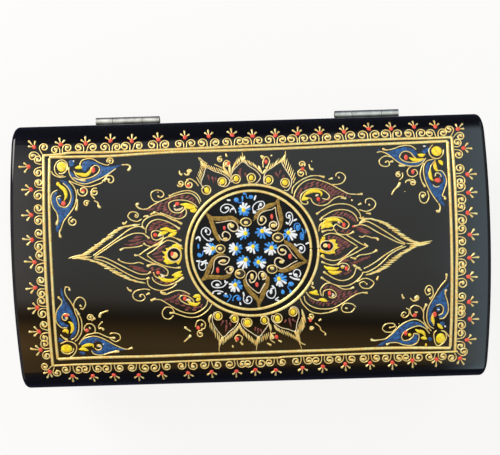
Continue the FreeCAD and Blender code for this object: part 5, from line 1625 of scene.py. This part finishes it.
def make_paints():
    """The paints of the ornament by colour."""
    return {
        "gold": varied(
            "gold_paint", (1.0, 0.65, 0.18), (1.0, 0.90, 0.42), 900.0, (0.24, 0.38),
            metallic=0.6, bump=0.06 * MM,
        ),
        "old_gold": varied(
            "brown_gold_paint", (0.20, 0.11, 0.010), (0.44, 0.26, 0.035), 900.0, (0.35, 0.55),
            metallic=0.2, bump=0.05 * MM,
        ),
        "cream": varied(
            "cream_paint", (0.88, 0.66, 0.36), (1.0, 0.88, 0.62), 700.0, (0.28, 0.45),
            metallic=0.2, bump=0.04 * MM,
        ),
        "red": glossy_paint("red_paint", (0.85, 0.045, 0.02), (1.0, 0.13, 0.07), 900.0),
        "yellow": glossy_paint("yellow_paint", (0.95, 0.55, 0.004), (1.0, 0.90, 0.02), 900.0, bump=0.05 * MM),
        "sky": glossy_paint("sky_blue_paint", (0.01, 0.17, 0.62), (0.06, 0.42, 0.95), 800.0),
        "white": glossy_paint("white_paint", (0.80, 0.82, 0.84), (0.95, 0.95, 0.95), 800.0),
        "blue": varied(
            "deep_blue_paint", (0.002, 0.022, 0.09), (0.014, 0.14, 0.42), 1100.0, (0.35, 0.55), bump=0.05 * MM
        ),
        "maroon": varied(
            "maroon_paint", (0.10, 0.018, 0.014), (0.30, 0.07, 0.055), 900.0, (0.35, 0.5), bump=0.04 * MM
        ),
        "shade": varied(
            "brown_shading", (0.02, 0.011, 0.003), (0.06, 0.03, 0.008), 700.0, (0.4, 0.6), bump=0.03 * MM
        ),
        "ground": varied(
            "matt_black_ground", (0.0015, 0.0015, 0.0016), (0.004, 0.004, 0.004), 300.0, (0.45, 0.6),
            bump=0.02 * MM, shine=0.15,
        ),
    }


# The paint of a piece by the last word of its name, where that isn't the colour itself
PAINT_BY_ENDING = {
    "lines": "gold", "scrolls": "gold", "petals": "gold", "rings": "gold", "dots": "red",
    "band": "old_gold", "hatch": "shade", "eye": "ground",
}


def make_pieces():
    """Turns the gathered paint into mesh pieces that ride on the lid."""
    paints = make_paints()
    for name, (points, faces) in PIECES.items():
        mesh = bpy.data.meshes.new(name)
        mesh.from_pydata(np.vstack(points).tolist(), [], [f for block in faces for f in block.tolist()])
        mesh.shade_smooth()
        ending = name.split("_")[-1]
        mesh.materials.append(paints[PAINT_BY_ENDING.get(ending, ending)])
        piece = bpy.data.objects.new(name, mesh)
        bpy.context.scene.collection.objects.link(piece)
        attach(piece, "lid")


def dress_cad():
    """Finishes of the CAD nodes."""
    lacquer = lacquer_material()
    steel = varied(
        "nickel_steel", (0.50, 0.49, 0.45), (0.74, 0.73, 0.67), 300.0, (0.34, 0.5),
        metallic=1.0, bump=0.02 * MM,
    )
    for name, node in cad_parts.items():
        node.data.materials.clear()
        node.data.materials.append(steel if "hinge" in name or "screw" in name else lacquer)


# The floor: bright and nearly even to the camera, matt white to light, dark where the lacquer mirrors it
FLOOR_HALF = 2.0
FLOOR_PAINT = (0.80, 0.795, 0.78)
FLOOR_GLOW = (1.0, 0.99, 0.975)
FLOOR_GLOW_SHARE = 0.86
FLOOR_MIRRORED = (0.035, 0.04, 0.075)

# The room by its share of the way from the front (-1) to the back (1), seen only as light and reflection
ROOM_BANDS = (
    (-1.0, (0.05, 0.05, 0.09)),
    (-0.84, (0.14, 0.10, 0.07)),
    (-0.72, (0.60, 0.37, 0.12)),
    (-0.60, (0.92, 0.56, 0.18)),
    (-0.50, (0.48, 0.29, 0.08)),
    (-0.45, (0.12, 0.08, 0.03)),
    (-0.40, (0.36, 0.27, 0.16)),
    (-0.34, (0.74, 0.70, 0.60)),
    (-0.10, (0.86, 0.88, 0.80)),
    (0.20, (0.88, 0.92, 0.86)),
    (0.55, (1.0, 1.06, 1.04)),
    (1.0, (1.0, 1.06, 1.10)),
)
BAND_SLANT = 0.24

# Parts of the room over the bands: colour, and the stretch of the way over which each one comes in
WINDOW_LIGHT, WINDOW_EDGE = (1.5, 1.95, 2.2), (0.225, 0.27)
SIDE_LIGHT, SIDE_EDGE = (0.34, 0.34, 0.36), (0.34, 0.6)
FAR_WALL, FAR_EDGE, FAR_SLANT = (0.04, 0.045, 0.11), (0.58, 0.84), -0.5
LEFT_WARMTH, LEFT_EDGE = (1.7, 1.55, 1.6), (0.235, 0.28)

# One soft lamp, behind the box and to the left of it
LAMP_PLACE, LAMP_AIM = (-0.80, 0.80, 0.62), (0, 0, 0.05)
LAMP_SIZE, LAMP_POWER = 0.8, 13.0
LAMP_COLOUR = (1.0, 0.97, 0.92)


def floor_material():
    """Matt white that glows to the camera, so that it stays even, and is dark to reflections."""
    material, tree, principled, add = shader("floor_white")
    link = tree.links.new
    principled.inputs["Base Color"].default_value = (*FLOOR_PAINT, 1)
    principled.inputs["Roughness"].default_value = 0.9
    glow = add("ShaderNodeEmission", Strength=1.0, Color=(*FLOOR_GLOW, 1))
    dim = add("ShaderNodeEmission", Strength=1.0, Color=(*FLOOR_MIRRORED, 1))
    path = add("ShaderNodeLightPath")
    share = add("ShaderNodeMath", operation="MULTIPLY")
    share.inputs[1].default_value = FLOOR_GLOW_SHARE
    seen, mirrored = add("ShaderNodeMixShader"), add("ShaderNodeMixShader")
    link(path.outputs["Is Camera Ray"], share.inputs[0])
    link(share.outputs[0], seen.inputs["Fac"])
    link(principled.outputs[0], seen.inputs[1])
    link(glow.outputs[0], seen.inputs[2])
    link(path.outputs["Is Glossy Ray"], mirrored.inputs["Fac"])
    link(seen.outputs[0], mirrored.inputs[1])
    link(dim.outputs[0], mirrored.inputs[2])
    link(mirrored.outputs[0], tree.nodes["Material Output"].inputs["Surface"])
    return material


def make_floor():
    """A plain pale floor."""
    mesh = bpy.data.meshes.new("floor")
    corners = [(x * FLOOR_HALF, y * FLOOR_HALF, 0) for x, y in ((-1, -1), (1, -1), (1, 1), (-1, 1))]
    mesh.from_pydata(corners, [], [(0, 1, 2, 3)])
    mesh.materials.append(floor_material())
    floor = bpy.data.objects.new("floor", mesh)
    bpy.context.scene.collection.objects.link(floor)


def make_world():
    """A world that is white to the camera and, to light and reflections, a room with a window."""
    world = bpy.data.worlds.new("studio")
    bpy.context.scene.world = world
    world.use_nodes = True
    tree = world.node_tree
    add, link = adder(tree), tree.links.new
    room = tree.nodes["Background"]
    where, split = add("ShaderNodeTexCoord"), add("ShaderNodeSeparateXYZ")
    link(where.outputs["Generated"], split.inputs[0])
    right, back = split.outputs["X"], split.outputs["Y"]

    def blend(kind, first, second):
        node = add("ShaderNodeMath", operation=kind)
        for socket, value in zip(node.inputs, (first, second)):
            if isinstance(value, float):
                socket.default_value = value
            else:
                link(value, socket)
        return node.outputs[0]

    def fade(value, edge):
        node = add("ShaderNodeMapRange", interpolation_type="SMOOTHSTEP", From_Min=edge[0], From_Max=edge[1])
        link(value, node.inputs["Value"])
        return node.outputs["Result"]

    def mixed(factor, first, second, way="MIX"):
        node = add("ShaderNodeMix", data_type="RGBA", blend_type=way)
        link(factor, node.inputs["Factor"])
        link(first, node.inputs["A"])
        node.inputs["B"].default_value = (*second, 1)
        return node.outputs["Result"]

    # The bands of the room from front to back, as the crown of the lid mirrors them
    slanted = blend("ADD", back, blend("MULTIPLY", right, BAND_SLANT))
    ramp = colour_ramp(add, [(at / 2 + 0.5, colour) for at, colour in ROOM_BANDS])
    link(blend("ADD", blend("MULTIPLY", slanted, 0.5), 0.5), ramp.inputs["Fac"])

    # The window on the right, the dim sides, the far wall and the warmer left
    colour = mixed(fade(right, WINDOW_EDGE), ramp.outputs["Color"], WINDOW_LIGHT)
    colour = mixed(fade(blend("ABSOLUTE", right, 0.0), SIDE_EDGE), colour, SIDE_LIGHT)
    far = blend("ADD", back, blend("MULTIPLY", right, FAR_SLANT))
    colour = mixed(fade(far, FAR_EDGE), colour, FAR_WALL)
    colour = mixed(fade(blend("MULTIPLY", right, -1.0), LEFT_EDGE), colour, LEFT_WARMTH, "MULTIPLY")
    link(colour, room.inputs["Color"])

    white = add("ShaderNodeBackground", Color=(1, 1, 1, 1))
    path, mix = add("ShaderNodeLightPath"), add("ShaderNodeMixShader")
    link(path.outputs["Is Camera Ray"], mix.inputs["Fac"])
    link(room.outputs[0], mix.inputs[1])
    link(white.outputs[0], mix.inputs[2])
    link(mix.outputs[0], tree.nodes["World Output"].inputs["Surface"])


def make_lamp():
    """A soft round lamp."""
    data = bpy.data.lights.new("key", "AREA")
    data.shape, data.size = "DISK", LAMP_SIZE
    data.energy = LAMP_POWER
    data.color = LAMP_COLOUR
    lamp = bpy.data.objects.new("key", data)
    lamp.location = LAMP_PLACE
    lamp.rotation_euler = (Vector(LAMP_AIM) - lamp.location).to_track_quat("-Z", "Y").to_euler()
    bpy.context.scene.collection.objects.link(lamp)


def make_camera():
    """The photograph's camera."""
    data = bpy.data.cameras.new("camera")
    data.sensor_width = SENSOR
    data.lens = FOCAL_PX / PHOTO[0] * SENSOR
    data.shift_y = SHIFT_PX / PHOTO[0]
    data.clip_start, data.clip_end = CAMERA_NEAR, CAMERA_FAR
    camera = bpy.data.objects.new("camera", data)
    bpy.context.scene.collection.objects.link(camera)
    camera.matrix_world = Matrix.Translation((CAMERA_X, CAMERA_Y, CAMERA_HEIGHT)) @ CAMERA_TURN.to_4x4()
    bpy.context.scene.camera = camera


paint_border()
paint_rings()
paint_medallion()
paint_petals()
paint_motif("top_left_corner", TOP_LEFT_CORNER_PX)
paint_motif("top_right_corner", TOP_RIGHT_CORNER_PX)
paint_motif("bottom_right_corner", BOTTOM_RIGHT_CORNER_PX)
paint_motif("bottom_left_corner", BOTTOM_LEFT_CORNER_PX)
paint_arrow("left_arrow", LEFT_ARROW_PX, LEFT_ROPES_PX, LEFT_TIP_PX)
paint_motif("left_paisleys", LEFT_PAISLEYS_PX)
paint_arrow("right_arrow", RIGHT_ARROW_PX, RIGHT_ROPES_PX, RIGHT_TIP_PX)
paint_motif("right_paisleys", RIGHT_PAISLEYS_PX)
make_pieces()
dress_cad()
make_floor()
make_world()
make_lamp()
make_camera()
bpy.context.scene.view_settings.view_transform = "Standard"
